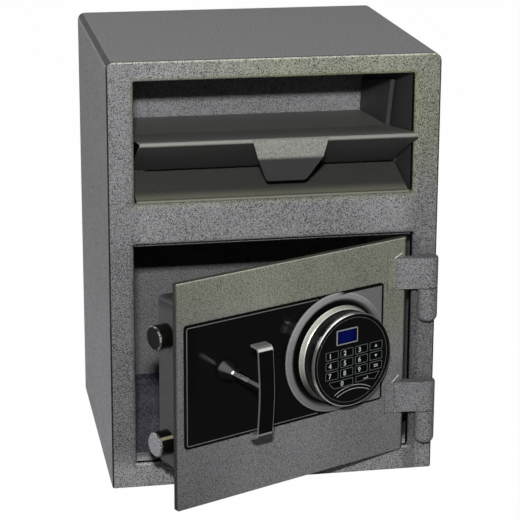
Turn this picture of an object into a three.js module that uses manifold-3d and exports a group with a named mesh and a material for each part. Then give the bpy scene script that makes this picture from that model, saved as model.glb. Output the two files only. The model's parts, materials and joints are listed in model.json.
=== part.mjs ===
// Drop safe with a deposit drawer above a hinged door with a round electronic lock.
// Millimetres, +Z up, +Y to the back. The origin is the centre of the cabinet's underside.
// The door stands ajar with its bolts thrown, and the deposit tray is open to be loaded.
import * as THREE from "three";
import { mergeVertices } from "three/addons/utils/BufferGeometryUtils.js";
import Module from "manifold-3d";

const wasm = await Module();
wasm.setup();

// Gaps
const SEAT = 0.3;
const DOOR_GAP = 2;
const SLIDE_GAP = 0.4;
const BEND_GAP = 1.2;
const KEY_GAP = 0.3;

// Cabinet
const WIDTH = 350;
const HEIGHT = 462;
const DEPTH = 310;
const SHEET = 3;
const TOP_RADIUS = 8;
const FRAME_EDGE_ROUND = 1;
const STILE = 26.5;
const HOPPER_STILE = 28;
const BOTTOM_RAIL = 25.5;
const MIDDLE_RAIL = 44;
const TOP_RAIL = 21;
const HOPPER_OPENING_HEIGHT = 128.5;
const OPENING_CORNER = 1;
const LIP_DEPTH = 11;
const LIP_ROUND = 6;
const BACK_FLANGE = 15;
const BASE_FLANGE = 18;
const ANCHOR_HOLE = 6;
const ANCHOR_SPREAD_X = 105;
const ANCHOR_SPREAD_Y = 90;
const MAT_THICKNESS = 3;
const STOP_OVERLAP = 1.3;
const STOP_FLANGE = 14;
const STOP_TOP_HEIGHT = 35;

// Door
const DOOR_AJAR = 25;
const DOOR_PLATE = 8;
const DOOR_RECESS = 2;
const DOOR_EDGE_ROUND = 1.2;
const DOOR_CHAMFER = 5;
const PAN_SHEET = 2;
const PAN_DEPTH = 36;
const PAN_INSET_LEFT = 5;
const PAN_INSET_RIGHT = 26.5;
const PAN_INSET_BOTTOM = 39.5;
const PAN_INSET_TOP = 22;
const PAN_BEND = 4;

// Hinges
const HINGE_INSET = 11.5;
const HINGE_STANDOFF = 11;
const BARREL_RADIUS = 10.5;
const BARREL_LENGTH = 37.2;
const BARREL_END_ROUND = 6.5;
const BARREL_FOOT = 5;
const LEAF_LENGTH = 34;
const LEAF_REACH = 36;
const LEAF_EDGE = 1.2;
const LEAF_END_ROUND = 2;
const LOWER_HINGE_RISE = 10.5;
const UPPER_HINGE_DROP = 22.5;
const PIN_RADIUS = 5;
const PIN_REACH = 26;

// Fascia, lock and keys, measured in front of the door plate
const FASCIA_HEIGHT = 130.4;
const FASCIA_INSET_LEFT = 7.3;
const FASCIA_INSET_RIGHT = 34.3;
const FASCIA_RISE = 10.6;
const FASCIA_THICKNESS = 1.5;
const FASCIA_CORNER = 3.5;
const LOCK_FROM_RIGHT = 63.9;
const LOCK_RISE = 0.9;
const ESCUTCHEON_RADIUS = 64.5;
const ESCUTCHEON_BAND = 6;
const ESCUTCHEON_HEIGHT = 3.5;
const ESCUTCHEON_EDGE = 1;
const ESCUTCHEON_SIDE_INSET = 2.2;
const ESCUTCHEON_END_INSET = 1.2;
const GROOVE_RADIUS = 55.3;
const SKIRT_RADIUS = 52;
const SKIRT_SHOULDER = 8.8;
const SKIRT_TOP = 14.6;
const HOUSING_RADIUS = 49.5;
const HOUSING_WALL = 3;
const HOUSING_TOP = 27.8;
const BEZEL_RADIUS = 50.2;
const BEZEL_WIDTH = 3.7;
const BEZEL_TOP = 31.8;
const FACE_THICKNESS = 2.9;
const FACE_TOP = 31;
const CABLE_HOLE = 8;
const KEY_WIDTH = 16.5;
const KEY_HEIGHT = 9;
const KEY_PITCH_X = 19.1;
const KEY_PITCH_Z = 10.9;
const KEY_COLUMN_START = -26.7;
const KEY_ROW_START = 9.6;
const KEY_CORNER = 1.5;
const KEY_PROUD = 0.7;
const KEY_FLANGE = 0.45;
const KEY_FLANGE_THICKNESS = 1.6;
const DISPLAY_WIDTH = 27.3;
const DISPLAY_HEIGHT = 16.1;
const DISPLAY_X = -7.1;
const DISPLAY_Z = 27;
const DISPLAY_BORDER = 1.6;
const DISPLAY_PROUD = 0.4;
const COVER_HALF_WIDTH = 21.5;
const COVER_X = 1;
const COVER_Z = -37;
const COVER_RISE = 5.6;
const COVER_DROP = 5.8;

// Handle
const HANDLE_FROM_LEFT = 51.2;
const HANDLE_RISE = 8.9;
const HUB_RADIUS = 12.5;
const HUB_LENGTH = 14;
const STEM_RADIUS = 4.5;
const GRIP_TOP = 71;
const GRIP_THICKNESS = 2.2;
const GRIP_WIDTH = 17.4;
const GRIP_LENGTH = 94;
const GRIP_DROP = 2.5;
const GRIP_RETURN = 13.5;
const GRIP_BOW = 3;
const GRIP_CORNER = 5.5;
const BUSH_WALL = 3;
const BUSH_FLANGE = 1.4;

// Bolt work
const BOLT_RADIUS = 12.5;
const BOLT_CHAMFER = 1.25;
const BOLT_LENGTH = 45.6;
const BOLT_PROUD = 11.1;
const BOLT_DEPTH = 18;
const BOLT_INSET_LOWER = 26.5;
const BOLT_INSET_UPPER = 38.2;
const BOLT_TRAVEL = 15;
const SPIGOT_RADIUS = 5;
const SPIGOT_LENGTH = 7;
const GUIDE_PLATE = 5;
const GUIDE_INSET = 6.5;
const GUIDE_HALF_HEIGHT = 19;
const GUIDE_FOOT = 12;
const CARRIER_WEB = 4;
const CARRIER_FLANGE = 3;
const CARRIER_MARGIN = 14;
const CAM_THICKNESS = 3;
const CAM_PIN_RADIUS = 3;
const CAM_PIN_LENGTH = 5;
const SLOT_PLAY = 0.8;
const LOCK_CASE_WIDTH = 61;
const LOCK_CASE_HEIGHT = 85;
const LOCK_CASE_DEPTH = 30;
const LOCK_CASE_PAST = 10;

// Deposit hopper, depths measured behind the cabinet's front face
const TRAY_SHEET = 1.5;
const TRAY_SIDE_GAP = 2.6;
const AXLE_RADIUS = 4;
const AXLE_DEPTH = 79.7;
const AXLE_RISE = 22.6;
const TRAY_LIP_DEPTH = -22.9;
const TRAY_LIP_RISE = 68.6;
const TRAY_LIP_RADIUS = 1.35;
const TRAY_DISH_DEPTH = 101;
const TRAY_DISH_RISE = 51.4;
const TRAY_REAR_DEPTH = 226;
const TRAY_REAR_RISE = 41.5;
const EYE_WRAP = 240;
const CHEEK_FRONT_DEPTH = 92;
const CHEEK_TOP_DEPTH = 73;
const CHEEK_TOP_RISE = 108;
const CHEEK_REAR_RISE = 79.5;
const CHEEK_FLANGE = 4.5;
const CHUTE_SHEET = 2;
const CHUTE_FLANGE = 12;
const SILL_START_DEPTH = 5.5;
const SILL_BEND_DEPTH = 12;
const SILL_REAR_DEPTH = 73.5;
const SILL_RISE = 16.8;
const BAFFLE_DEPTH = 231;
const BAFFLE_RISE = 38.5;
const TAB_X = 10.4;
const TAB_TOP_WIDTH = 80;
const TAB_BEND_WIDTH = 68;
const TAB_END_WIDTH = 41;
const TAB_UPPER = 19.5;
const TAB_LOWER_BACK = 22;
const TAB_LOWER_DROP = 29;
const ARM_LENGTH = 30;
const ARM_HALF_WIDTH = 4;
const ARM_THICKNESS = 3;
const ARM_REST_ANGLE = -30;
const TRAY_TRAVEL = 60;
const PEG_RADIUS = 2.5;
const PEG_ORBIT = 25;
const BUSH_RADIUS = 7;

// Angles in degrees
const FULL_TURN = 360;
const TO_BACK = 90;

// Facets
const CORNER_STEPS = 3;
const BARREL_SIDES = 32;
const RING_SIDES = 64;
const HOLE_SIDES = 24;

// Places worked out from the sizes above
const FRONT = -DEPTH / 2;
const BACK = DEPTH / 2;
const HALF_WIDTH = WIDTH / 2;
const OPENING_HALF = HALF_WIDTH - STILE;
const HOPPER_HALF = HALF_WIDTH - HOPPER_STILE;
const HOPPER_TOP = HEIGHT - TOP_RAIL;
const HOPPER_BOTTOM = HOPPER_TOP - HOPPER_OPENING_HEIGHT;
const DOOR_OPENING_TOP = HOPPER_BOTTOM - MIDDLE_RAIL;
const INSIDE_HALF = HALF_WIDTH - SHEET - SEAT;
const TRAY_HALF_WIDTH = HOPPER_HALF - TRAY_SIDE_GAP;
const FLOOR_HALF = INSIDE_HALF - SHEET - BEND_GAP;
const ROOF = HEIGHT - SHEET - SEAT;
const BEHIND_LIP = FRONT + LIP_DEPTH + SEAT;
const PLATE_HALF = OPENING_HALF - DOOR_GAP;
const PLATE_BOTTOM = BOTTOM_RAIL + DOOR_GAP;
const PLATE_TOP = DOOR_OPENING_TOP - DOOR_GAP;
const PLATE_FRONT = FRONT + DOOR_RECESS;
const PLATE_REAR = PLATE_FRONT + DOOR_PLATE;
const DOOR_CENTRE_Z = (BOTTOM_RAIL + DOOR_OPENING_TOP) / 2;
const HINGE_X = HALF_WIDTH - HINGE_INSET;
const HINGE_Y = FRONT - HINGE_STANDOFF;
const FASCIA_LEFT = -PLATE_HALF + FASCIA_INSET_LEFT;
const FASCIA_RIGHT = PLATE_HALF - FASCIA_INSET_RIGHT;
const FASCIA_Z = DOOR_CENTRE_Z + FASCIA_RISE;
const FASCIA_TOP = SEAT + FASCIA_THICKNESS;
const ON_FASCIA = FASCIA_TOP + SEAT;
const LOCK_X = FASCIA_RIGHT - LOCK_FROM_RIGHT;
const LOCK_Z = FASCIA_Z + LOCK_RISE;
const FACE_RADIUS = BEZEL_RADIUS - BEZEL_WIDTH - SEAT;
const HANDLE_X = FASCIA_LEFT + HANDLE_FROM_LEFT;
const HANDLE_Z = FASCIA_Z + HANDLE_RISE;
const BUSH_BORE = STEM_RADIUS + SEAT;
const BUSH_OUTER = BUSH_BORE + BUSH_WALL;
const PAN_FRONT = PLATE_REAR + SEAT;
const PAN_LEFT = -PLATE_HALF + PAN_INSET_LEFT;
const BOLT_TIP_X = -PLATE_HALF - BOLT_PROUD;
const BOLT_SHOULDER_X = BOLT_TIP_X + BOLT_LENGTH;
const BOLT_Y = PLATE_REAR + BOLT_DEPTH;
const PAN_BOTTOM = PLATE_BOTTOM + PAN_INSET_BOTTOM;
const PAN_TOP = PLATE_TOP - PAN_INSET_TOP;
const BOLT_Z = [PAN_BOTTOM + BOLT_INSET_LOWER, PAN_TOP - BOLT_INSET_UPPER];
const CAM_FRONT = PLATE_REAR + SEAT + BUSH_FLANGE + SEAT;
const CAM_REAR = CAM_FRONT + CAM_THICKNESS;
const CARRIER_FRONT = CAM_REAR + 2 * SEAT;
const CRANK = BOLT_TRAVEL / Math.SQRT2;
const CRANK_REST = BOLT_TRAVEL / 2;
const AXLE = new THREE.Vector2(FRONT + AXLE_DEPTH, HOPPER_BOTTOM + AXLE_RISE);
const TRAY_LIP = new THREE.Vector2(FRONT + TRAY_LIP_DEPTH, HOPPER_BOTTOM + TRAY_LIP_RISE);
const CHUTE_INNER = HOPPER_HALF + SEAT;
const CHUTE_OUTER = CHUTE_INNER + CHUTE_SHEET;

// Axes: a shape drawn in the first two directions is extruded or turned towards the third
const X = new THREE.Vector3(1, 0, 0);
const Y = new THREE.Vector3(0, 1, 0);
const Z = new THREE.Vector3(0, 0, 1);
const DRAWN_YZ = new THREE.Matrix4().makeBasis(Y, Z, X);
const DRAWN_XZ = new THREE.Matrix4().makeBasis(X, Z, Y.clone().negate());
const DRAWN_XY = new THREE.Matrix4();
const TURNED_X = new THREE.Matrix4().makeBasis(Y, X, Z.clone().negate());
const TURNED_Z = new THREE.Matrix4().makeBasis(X, Z, Y.clone().negate());
const TURNED_OUT = new THREE.Matrix4().makeBasis(X, Y.clone().negate(), Z.clone().negate());

// Welds a geometry to bare shared vertices, drops collapsed faces and turns the faces outwards.
function weld(geometry) {
  const bare = geometry.clone();
  bare.deleteAttribute("normal");
  bare.deleteAttribute("uv");
  const merged = mergeVertices(bare, 1e-4);
  const corners = merged.index.array;
  const position = merged.attributes.position;
  const faces = [];
  let volume = 0;
  for (let i = 0; i < corners.length; i += 3) {
    const [a, b, c] = [corners[i], corners[i + 1], corners[i + 2]];
    if (a === b || b === c || c === a) continue;
    const [p, q, r] = [a, b, c].map((k) => new THREE.Vector3().fromBufferAttribute(position, k));
    volume += p.dot(q.cross(r)) / 6;
    faces.push([a, b, c]);
  }
  const ordered = volume < 0 ? faces.map(([a, b, c]) => [a, c, b]) : faces;
  merged.setIndex(ordered.flat());
  return merged;
}

function toSolid(geometry) {
  const welded = weld(geometry);
  return new wasm.Manifold(new wasm.Mesh({
    numProp: 3,
    vertProperties: welded.attributes.position.array,
    triVerts: Uint32Array.from(welded.index.array),
  }));
}

function toGeometry(solid) {
  const mesh = solid.getMesh();
  const geometry = new THREE.BufferGeometry();
  geometry.setAttribute("position", new THREE.BufferAttribute(mesh.vertProperties, 3));
  geometry.setIndex(new THREE.BufferAttribute(mesh.triVerts, 1));
  return geometry;
}

function join(first, ...others) {
  return toGeometry(others.reduce((sum, other) => sum.add(toSolid(other)), toSolid(first)));
}

function cut(body, ...tools) {
  return toGeometry(tools.reduce((rest, tool) => rest.subtract(toSolid(tool)), toSolid(body)));
}

function common(first, second) {
  return toGeometry(toSolid(first).intersect(toSolid(second)));
}

function mirrorX(geometry) {
  return geometry.clone().applyMatrix4(new THREE.Matrix4().makeScale(-1, 1, 1));
}

function radians(degrees) {
  return THREE.MathUtils.degToRad(degrees);
}

// Points of an arc about a centre, angles in degrees.
function arc(centre, radius, from, to, steps) {
  return Array.from({ length: steps + 1 }, (_, i) => {
    const angle = radians(from + ((to - from) * i) / steps);
    return new THREE.Vector2(centre.x + radius * Math.cos(angle), centre.y + radius * Math.sin(angle));
  });
}

// Replaces each corner [a, b, radius] of an outline, or of an open line, by an arc.
function roundCorners(corners, closed = true, steps = CORNER_STEPS) {
  const count = corners.length;
  const at = (i) => new THREE.Vector2(corners[(i + count) % count][0], corners[(i + count) % count][1]);
  return corners.flatMap((corner, i) => {
    const here = at(i);
    const radius = corner[2] ?? 0;
    const isEnd = !closed && (i === 0 || i === count - 1);
    if (radius === 0 || isEnd) return [here];
    const back = at(i - 1).sub(here).normalize();
    const ahead = at(i + 1).sub(here).normalize();
    const half = Math.acos(back.dot(ahead)) / 2;
    const centre = back.clone().add(ahead).normalize().multiplyScalar(radius / Math.sin(half)).add(here);
    const start = back.multiplyScalar(radius / Math.tan(half)).add(here);
    const end = ahead.multiplyScalar(radius / Math.tan(half)).add(here);
    const from = start.sub(centre).angle();
    const turn = end.sub(centre).angle() - from;
    const shortTurn = turn - 2 * Math.PI * Math.round(turn / (2 * Math.PI));
    const toDegrees = THREE.MathUtils.radToDeg;
    return arc(centre, radius, toDegrees(from), toDegrees(from + shortTurn), steps);
  });
}

function roundedRectangle(x0, x1, z0, z1, radius, steps = CORNER_STEPS) {
  return roundCorners([[x0, z0, radius], [x1, z0, radius], [x1, z1, radius], [x0, z1, radius]], true, steps);
}

function circle(x, z, radius, sides = HOLE_SIDES) {
  return arc(new THREE.Vector2(x, z), radius, 0, FULL_TURN, sides).slice(0, -1);
}

// Outline of a sheet of one thickness that follows an open line.
function band(line, thickness) {
  const last = line.length - 1;
  const left = [];
  const right = [];
  line.forEach((point, i) => {
    const into = (i > 0 ? point.clone().sub(line[i - 1]) : line[1].clone().sub(point)).normalize();
    const out = i < last ? line[i + 1].clone().sub(point).normalize() : into.clone();
    const normal = new THREE.Vector2(-into.y - out.y, into.x + out.x).normalize();
    const reach = thickness / 2 / (normal.y * into.x - normal.x * into.y);
    left.push(point.clone().addScaledVector(normal, reach));
    right.unshift(point.clone().addScaledVector(normal, -reach));
  });
  return left.concat(right);
}

// Extrudes an outline between two coordinates on the axis that it isn't drawn in.
function prism(outline, drawn, from, to, { holes = [], edgeRound = 0 } = {}) {
  const shape = new THREE.Shape(outline);
  shape.holes = holes.map((hole) => new THREE.Path(hole));
  const start = drawn === DRAWN_XZ ? -to : from;
  const geometry = new THREE.ExtrudeGeometry(shape, {
    depth: to - from - 2 * edgeRound,
    bevelEnabled: edgeRound > 0,
    bevelThickness: edgeRound,
    bevelSize: edgeRound,
    bevelOffset: -edgeRound,
    bevelSegments: 2,
  });
  return geometry.translate(0, 0, start + edgeRound).applyMatrix4(drawn);
}

function box(x0, x1, y0, y1, z0, z1) {
  return prism(roundedRectangle(x0, x1, z0, z1, 0), DRAWN_XZ, y0, y1);
}

// Turns a profile of [radius, height] pairs about an axis.
function turned(profile, axis, sides = BARREL_SIDES) {
  const points = profile.map(([radius, height]) => new THREE.Vector2(radius, height));
  return new THREE.LatheGeometry(points, sides).applyMatrix4(axis);
}

function ringProfile(inner, outer, from, to) {
  return [[inner, from], [outer, from], [outer, to], [inner, to], [inner, from]];
}

function rod(radius, from, to, axis, sides = BARREL_SIDES) {
  return turned([[0, from], [radius, from], [radius, to], [0, to]], axis, sides);
}

// Joins outlines of equal point counts, each at its own level, into one closed body.
function loft(sections, drawn) {
  const count = sections[0].outline.length;
  const vertices = sections.flatMap(({ outline, level }) => outline.flatMap((p) => [p.x, p.y, level]));
  const faces = [];
  for (let s = 0; s + 1 < sections.length; s += 1) {
    for (let i = 0; i < count; i += 1) {
      const a = s * count + i;
      const b = s * count + ((i + 1) % count);
      faces.push(a, b, b + count, a, b + count, a + count);
    }
  }
  const top = (sections.length - 1) * count;
  THREE.ShapeUtils.triangulateShape(sections[0].outline, []).forEach(([a, b, c]) => faces.push(a, c, b));
  THREE.ShapeUtils.triangulateShape(sections.at(-1).outline, []).forEach(([a, b, c]) => {
    faces.push(top + a, top + b, top + c);
  });
  const geometry = new THREE.BufferGeometry();
  geometry.setAttribute("position", new THREE.Float32BufferAttribute(vertices, 3));
  geometry.setIndex(faces);
  return geometry.applyMatrix4(drawn);
}

// Carries a closed profile of [outward, depth] pairs round a rounded rectangle in the XZ plane.
function rectangleRing(x0, x1, z0, z1, radius, profile) {
  const loops = profile.map(([outward]) =>
    roundedRectangle(x0 - outward, x1 + outward, z0 - outward, z1 + outward, radius + outward));
  const count = loops[0].length;
  const vertices = loops.flatMap((loop, k) => loop.flatMap((p) => [p.x, FRONT + profile[k][1], p.y]));
  const faces = [];
  for (let k = 0; k < loops.length; k += 1) {
    const next = (k + 1) % loops.length;
    for (let i = 0; i < count; i += 1) {
      const j = (i + 1) % count;
      faces.push(k * count + i, k * count + j, next * count + j);
      faces.push(k * count + i, next * count + j, next * count + i);
    }
  }
  const geometry = new THREE.BufferGeometry();
  geometry.setAttribute("position", new THREE.Float32BufferAttribute(vertices, 3));
  geometry.setIndex(faces);
  return geometry;
}

// A folded sheet box, open towards the front, with rounded rear bends.
function foldedBox(x0, x1, z0, z1, y0, y1, sheet, bend) {
  const shell = (inset, front) => {
    const radius = Math.max(bend - inset, 1);
    const level = (grow, y) => ({
      outline: roundedRectangle(x0 + inset + grow, x1 - inset - grow, z0 + inset + grow, z1 - inset - grow, radius),
      level: -y,
    });
    const rear = y1 - inset;
    return loft([level(0, front), level(0, rear - radius), level(radius * 0.3, rear - radius * 0.3),
      level(radius, rear)].reverse(), DRAWN_XZ);
  };
  return cut(shell(0, y0), shell(sheet, y0 - 1));
}

function finish(color, roughness, metalness) {
  return { color, roughness, metalness };
}

const HAMMERTONE = finish(0x6f716c, 0.5, 0.35);
const SMOOTH_GREY = finish(0x3c3d3d, 0.6, 0.2);
const DARK_CARPET = finish(0x2a2a38, 0.95, 0);
const STEEL = finish(0x9a9a98, 0.35, 0.9);
const GLOSS_BLACK = finish(0x0c0c0d, 0.12, 0);
const SATIN_SILVER = finish(0xa3a49f, 0.35, 0.85);
const CHROME = finish(0xd8d8d6, 0.1, 1);
const BRASS = finish(0xa58a4c, 0.4, 0.9);
const DISPLAY_BLUE = finish(0x101a5c, 0.15, 0);

function piece(name, geometry, look) {
  const mesh = new THREE.Mesh(weld(geometry), new THREE.MeshStandardMaterial(look));
  mesh.geometry.computeVertexNormals();
  mesh.name = name;
  return mesh;
}

// Places a geometry drawn about the lock or handle axis, with heights measured in front of the plate.
function onDoor(geometry, x, z) {
  return geometry.translate(x, PLATE_FRONT, z);
}

// Cabinet shell

function makeFrontFrame() {
  const outer = roundCorners([
    [-HALF_WIDTH, 0, FRAME_EDGE_ROUND * 2],
    [HALF_WIDTH, 0, FRAME_EDGE_ROUND * 2],
    [HALF_WIDTH, HEIGHT, TOP_RADIUS],
    [-HALF_WIDTH, HEIGHT, TOP_RADIUS],
  ]);
  const openings = [[BOTTOM_RAIL, DOOR_OPENING_TOP, OPENING_HALF], [HOPPER_BOTTOM, HOPPER_TOP, HOPPER_HALF]];
  const clear = LIP_ROUND + 1;
  const holes = openings.map(([z0, z1, half]) =>
    roundedRectangle(-half - clear, half + clear, z0 - clear, z1 + clear, OPENING_CORNER + clear));
  const plate = prism(outer, DRAWN_XZ, FRONT, FRONT + SHEET, { holes, edgeRound: FRAME_EDGE_ROUND });
  const roundCentre = new THREE.Vector2(LIP_ROUND, LIP_ROUND);
  const seam = clear + 2 * FRAME_EDGE_ROUND;
  const profile = [
    [seam, 0],
    ...arc(roundCentre, LIP_ROUND, 270, 180, 4).map((p) => [p.x, p.y]),
    [0, LIP_DEPTH],
    [SHEET, LIP_DEPTH],
    [SHEET, LIP_ROUND],
    [LIP_ROUND, SHEET],
    [seam, SHEET],
  ];
  const lips = openings.map(([z0, z1, half]) => rectangleRing(-half, half, z0, z1, OPENING_CORNER, profile));
  return join(plate, ...lips);
}

function makeBodyWrap() {
  const middle = HALF_WIDTH - SHEET / 2;
  const bend = TOP_RADIUS - SHEET / 2;
  const line = roundCorners([
    [-middle, 0],
    [-middle, HEIGHT - SHEET / 2, bend],
    [middle, HEIGHT - SHEET / 2, bend],
    [middle, 0],
  ], false, 5);
  return prism(band(line, SHEET), DRAWN_XZ, FRONT + SHEET + SEAT, BACK);
}

function makeBackPanel() {
  return foldedBox(-INSIDE_HALF, INSIDE_HALF, 0, ROOF, BACK - BACK_FLANGE, BACK, SHEET, TOP_RADIUS - SHEET);
}

function makeBasePlate() {
  const middle = INSIDE_HALF - SHEET / 2;
  const line = roundCorners([
    [-middle, BASE_FLANGE],
    [-middle, SHEET / 2, SHEET],
    [middle, SHEET / 2, SHEET],
    [middle, BASE_FLANGE],
  ], false);
  const tray = prism(band(line, SHEET), DRAWN_XZ, FRONT + SHEET + SEAT, BACK - BACK_FLANGE - SEAT);
  const holes = [-1, 1].flatMap((sideX) => [-1, 1].map((sideY) =>
    prism(circle(sideX * ANCHOR_SPREAD_X, sideY * ANCHOR_SPREAD_Y, ANCHOR_HOLE), DRAWN_XY, -1, SHEET + 1)));
  return cut(tray, ...holes);
}

function makeFloorMat() {
  const rear = BACK - BACK_FLANGE - BEND_GAP;
  const outline = roundedRectangle(-FLOOR_HALF, FLOOR_HALF, BEHIND_LIP + SHEET + SEAT, rear, 3);
  return prism(outline, DRAWN_XY, SHEET + SEAT, SHEET + SEAT + MAT_THICKNESS);
}

// The door plate closes against these two angle strips, which stand just behind the lips.
function makeStop(edge, far) {
  const middle = BEHIND_LIP + SHEET / 2;
  const turnedEdge = edge < far ? far - SHEET / 2 : edge - SHEET / 2;
  const rawEdge = edge < far ? edge : far;
  const line = roundCorners([
    [middle, rawEdge],
    [middle, turnedEdge, SHEET],
    [BEHIND_LIP + STOP_FLANGE, turnedEdge],
  ], false);
  return prism(band(line, SHEET), DRAWN_YZ, -FLOOR_HALF, FLOOR_HALF);
}

function makeCabinet() {
  return [
    piece("body_wrap", makeBodyWrap(), HAMMERTONE),
    piece("front_frame", makeFrontFrame(), HAMMERTONE),
    piece("back_panel", makeBackPanel(), HAMMERTONE),
    piece("base_plate", makeBasePlate(), HAMMERTONE),
    piece("stop_bottom", makeStop(PLATE_BOTTOM + STOP_OVERLAP, SHEET + SEAT), HAMMERTONE),
    piece("stop_top", makeStop(PLATE_TOP - STOP_OVERLAP, PLATE_TOP - STOP_OVERLAP + STOP_TOP_HEIGHT), HAMMERTONE),
    piece("floor_mat", makeFloorMat(), DARK_CARPET),
  ];
}

// Hinges: a barrel welded to the frame, a pin, and a wedge-shaped leaf welded to the door plate

function makeBarrel(top) {
  const centre = new THREE.Vector2(HINGE_X, HINGE_Y);
  const footWidth = Math.asin(BARREL_FOOT / BARREL_RADIUS);
  const section = (inset, level) => {
    const radius = BARREL_RADIUS - inset;
    const foot = BARREL_FOOT * (radius / BARREL_RADIUS);
    const half = THREE.MathUtils.radToDeg(footWidth);
    const round = arc(centre, radius, TO_BACK + half, TO_BACK + FULL_TURN - half, BARREL_SIDES);
    const feet = [[foot, FRONT - SEAT], [-foot, FRONT - SEAT]];
    return { outline: [...round, ...feet.map(([x, y]) => new THREE.Vector2(HINGE_X + x, y))], level };
  };
  const bottom = top - BARREL_LENGTH;
  const ends = arc(new THREE.Vector2(BARREL_END_ROUND, BARREL_END_ROUND), BARREL_END_ROUND, 270, 180, 4);
  const sections = [...ends.map((p) => section(p.x, bottom + p.y)), section(0, top)];
  const bore = rod(PIN_RADIUS + SEAT, top - PIN_REACH - SEAT, top + 1, TURNED_Z).translate(HINGE_X, HINGE_Y, 0);
  return cut(loft(sections, DRAWN_XY), bore);
}

function makeLeaf(bottom) {
  const centre = new THREE.Vector2(HINGE_X, HINGE_Y);
  const weldX = HINGE_X - LEAF_REACH;
  const onPlate = PLATE_FRONT - SEAT;
  const overFrame = FRONT - (HINGE_STANDOFF - BARREL_RADIUS);
  const weldPoint = new THREE.Vector2(weldX, onPlate - LEAF_EDGE);
  const section = (inset, level) => {
    const radius = BARREL_RADIUS - inset;
    const start = tangentAngle(weldPoint.clone().sub(centre), radius);
    const outline = [
      weldPoint,
      ...arc(centre, radius, start, TO_BACK + FULL_TURN, BARREL_SIDES),
      new THREE.Vector2(PLATE_HALF + DOOR_GAP / 2, overFrame),
      new THREE.Vector2(PLATE_HALF, onPlate),
      new THREE.Vector2(weldX, onPlate),
    ];
    return { outline, level };
  };
  const top = bottom + LEAF_LENGTH;
  const rounding = [[LEAF_END_ROUND, 0], [LEAF_END_ROUND * 0.3, LEAF_END_ROUND * 0.3], [0, LEAF_END_ROUND]];
  const sections = [
    section(LEAF_END_ROUND / 2, bottom),
    section(0, bottom + LEAF_END_ROUND / 2),
    ...rounding.reverse().map(([inset, drop]) => section(inset, top - drop)),
  ];
  const bore = rod(PIN_RADIUS + SEAT, bottom - 1, bottom + PIN_REACH + SEAT, TURNED_Z);
  return cut(loft(sections, DRAWN_XY), bore.translate(HINGE_X, HINGE_Y, 0));
}

// Angle in degrees of the radius where a line to the far point touches a circle about the origin.
function tangentAngle(toPoint, radius) {
  return THREE.MathUtils.radToDeg(toPoint.angle() + Math.acos(radius / toPoint.length()));
}

function makePin(seam) {
  const profile = [[0, seam - PIN_REACH], [PIN_RADIUS - 1, seam - PIN_REACH], [PIN_RADIUS, seam - PIN_REACH + 1],
    [PIN_RADIUS, seam + PIN_REACH - 1], [PIN_RADIUS - 1, seam + PIN_REACH], [0, seam + PIN_REACH]];
  return turned(profile, TURNED_Z).translate(HINGE_X, HINGE_Y, 0);
}

const HINGE_SEAMS = {
  lower: BOTTOM_RAIL + LOWER_HINGE_RISE + BARREL_LENGTH,
  upper: DOOR_OPENING_TOP - UPPER_HINGE_DROP - LEAF_LENGTH,
};

function makeFixedHinges() {
  return Object.entries(HINGE_SEAMS).flatMap(([place, seam]) => [
    piece(`hinge_barrel_${place}`, makeBarrel(seam - SEAT), HAMMERTONE),
    piece(`hinge_pin_${place}`, makePin(seam), STEEL),
  ]);
}

function makeLeaves() {
  return Object.entries(HINGE_SEAMS).map(([place, seam]) =>
    piece(`hinge_leaf_${place}`, makeLeaf(seam + SEAT), HAMMERTONE));
}

// Door plate, bolt box and fascia

function makeDoorPlate() {
  const profile = roundCorners([
    [-PLATE_HALF, PLATE_FRONT, DOOR_EDGE_ROUND],
    [PLATE_HALF - DOOR_CHAMFER, PLATE_FRONT, DOOR_EDGE_ROUND],
    [PLATE_HALF, PLATE_FRONT + DOOR_CHAMFER * 0.7, DOOR_EDGE_ROUND],
    [PLATE_HALF, PLATE_REAR, DOOR_EDGE_ROUND],
    [-PLATE_HALF, PLATE_REAR, DOOR_EDGE_ROUND],
  ]);
  const plate = prism(profile, DRAWN_XY, PLATE_BOTTOM, PLATE_TOP, { edgeRound: DOOR_EDGE_ROUND / 2 });
  const spindleHole = rod(BUSH_OUTER + SEAT, -DOOR_PLATE - 1, 1, TURNED_OUT, HOLE_SIDES);
  const cableHole = rod(CABLE_HOLE, -DOOR_PLATE - 1, 1, TURNED_OUT, HOLE_SIDES);
  return cut(plate, onDoor(spindleHole, HANDLE_X, HANDLE_Z), onDoor(cableHole, LOCK_X, LOCK_Z));
}

function makeDoorPan() {
  const right = PLATE_HALF - PAN_INSET_RIGHT;
  const shell = foldedBox(PAN_LEFT, right, PAN_BOTTOM, PAN_TOP, PAN_FRONT, PLATE_REAR + PAN_DEPTH, PAN_SHEET, PAN_BEND);
  const boltHoles = BOLT_Z.map((z) =>
    rod(BOLT_RADIUS + SLIDE_GAP, PAN_LEFT - 1, PAN_LEFT + 2 * PAN_BEND, TURNED_X).translate(0, BOLT_Y, z));
  return cut(shell, ...boltHoles);
}

function makeFascia() {
  const outline = roundedRectangle(FASCIA_LEFT, FASCIA_RIGHT, FASCIA_Z - FASCIA_HEIGHT / 2,
    FASCIA_Z + FASCIA_HEIGHT / 2, FASCIA_CORNER);
  const holes = [circle(HANDLE_X, HANDLE_Z, BUSH_BORE + SEAT), circle(LOCK_X, LOCK_Z, CABLE_HOLE)];
  return prism(outline, DRAWN_XZ, PLATE_FRONT - FASCIA_TOP, PLATE_FRONT - SEAT, { holes });
}

// Round electronic lock

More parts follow.
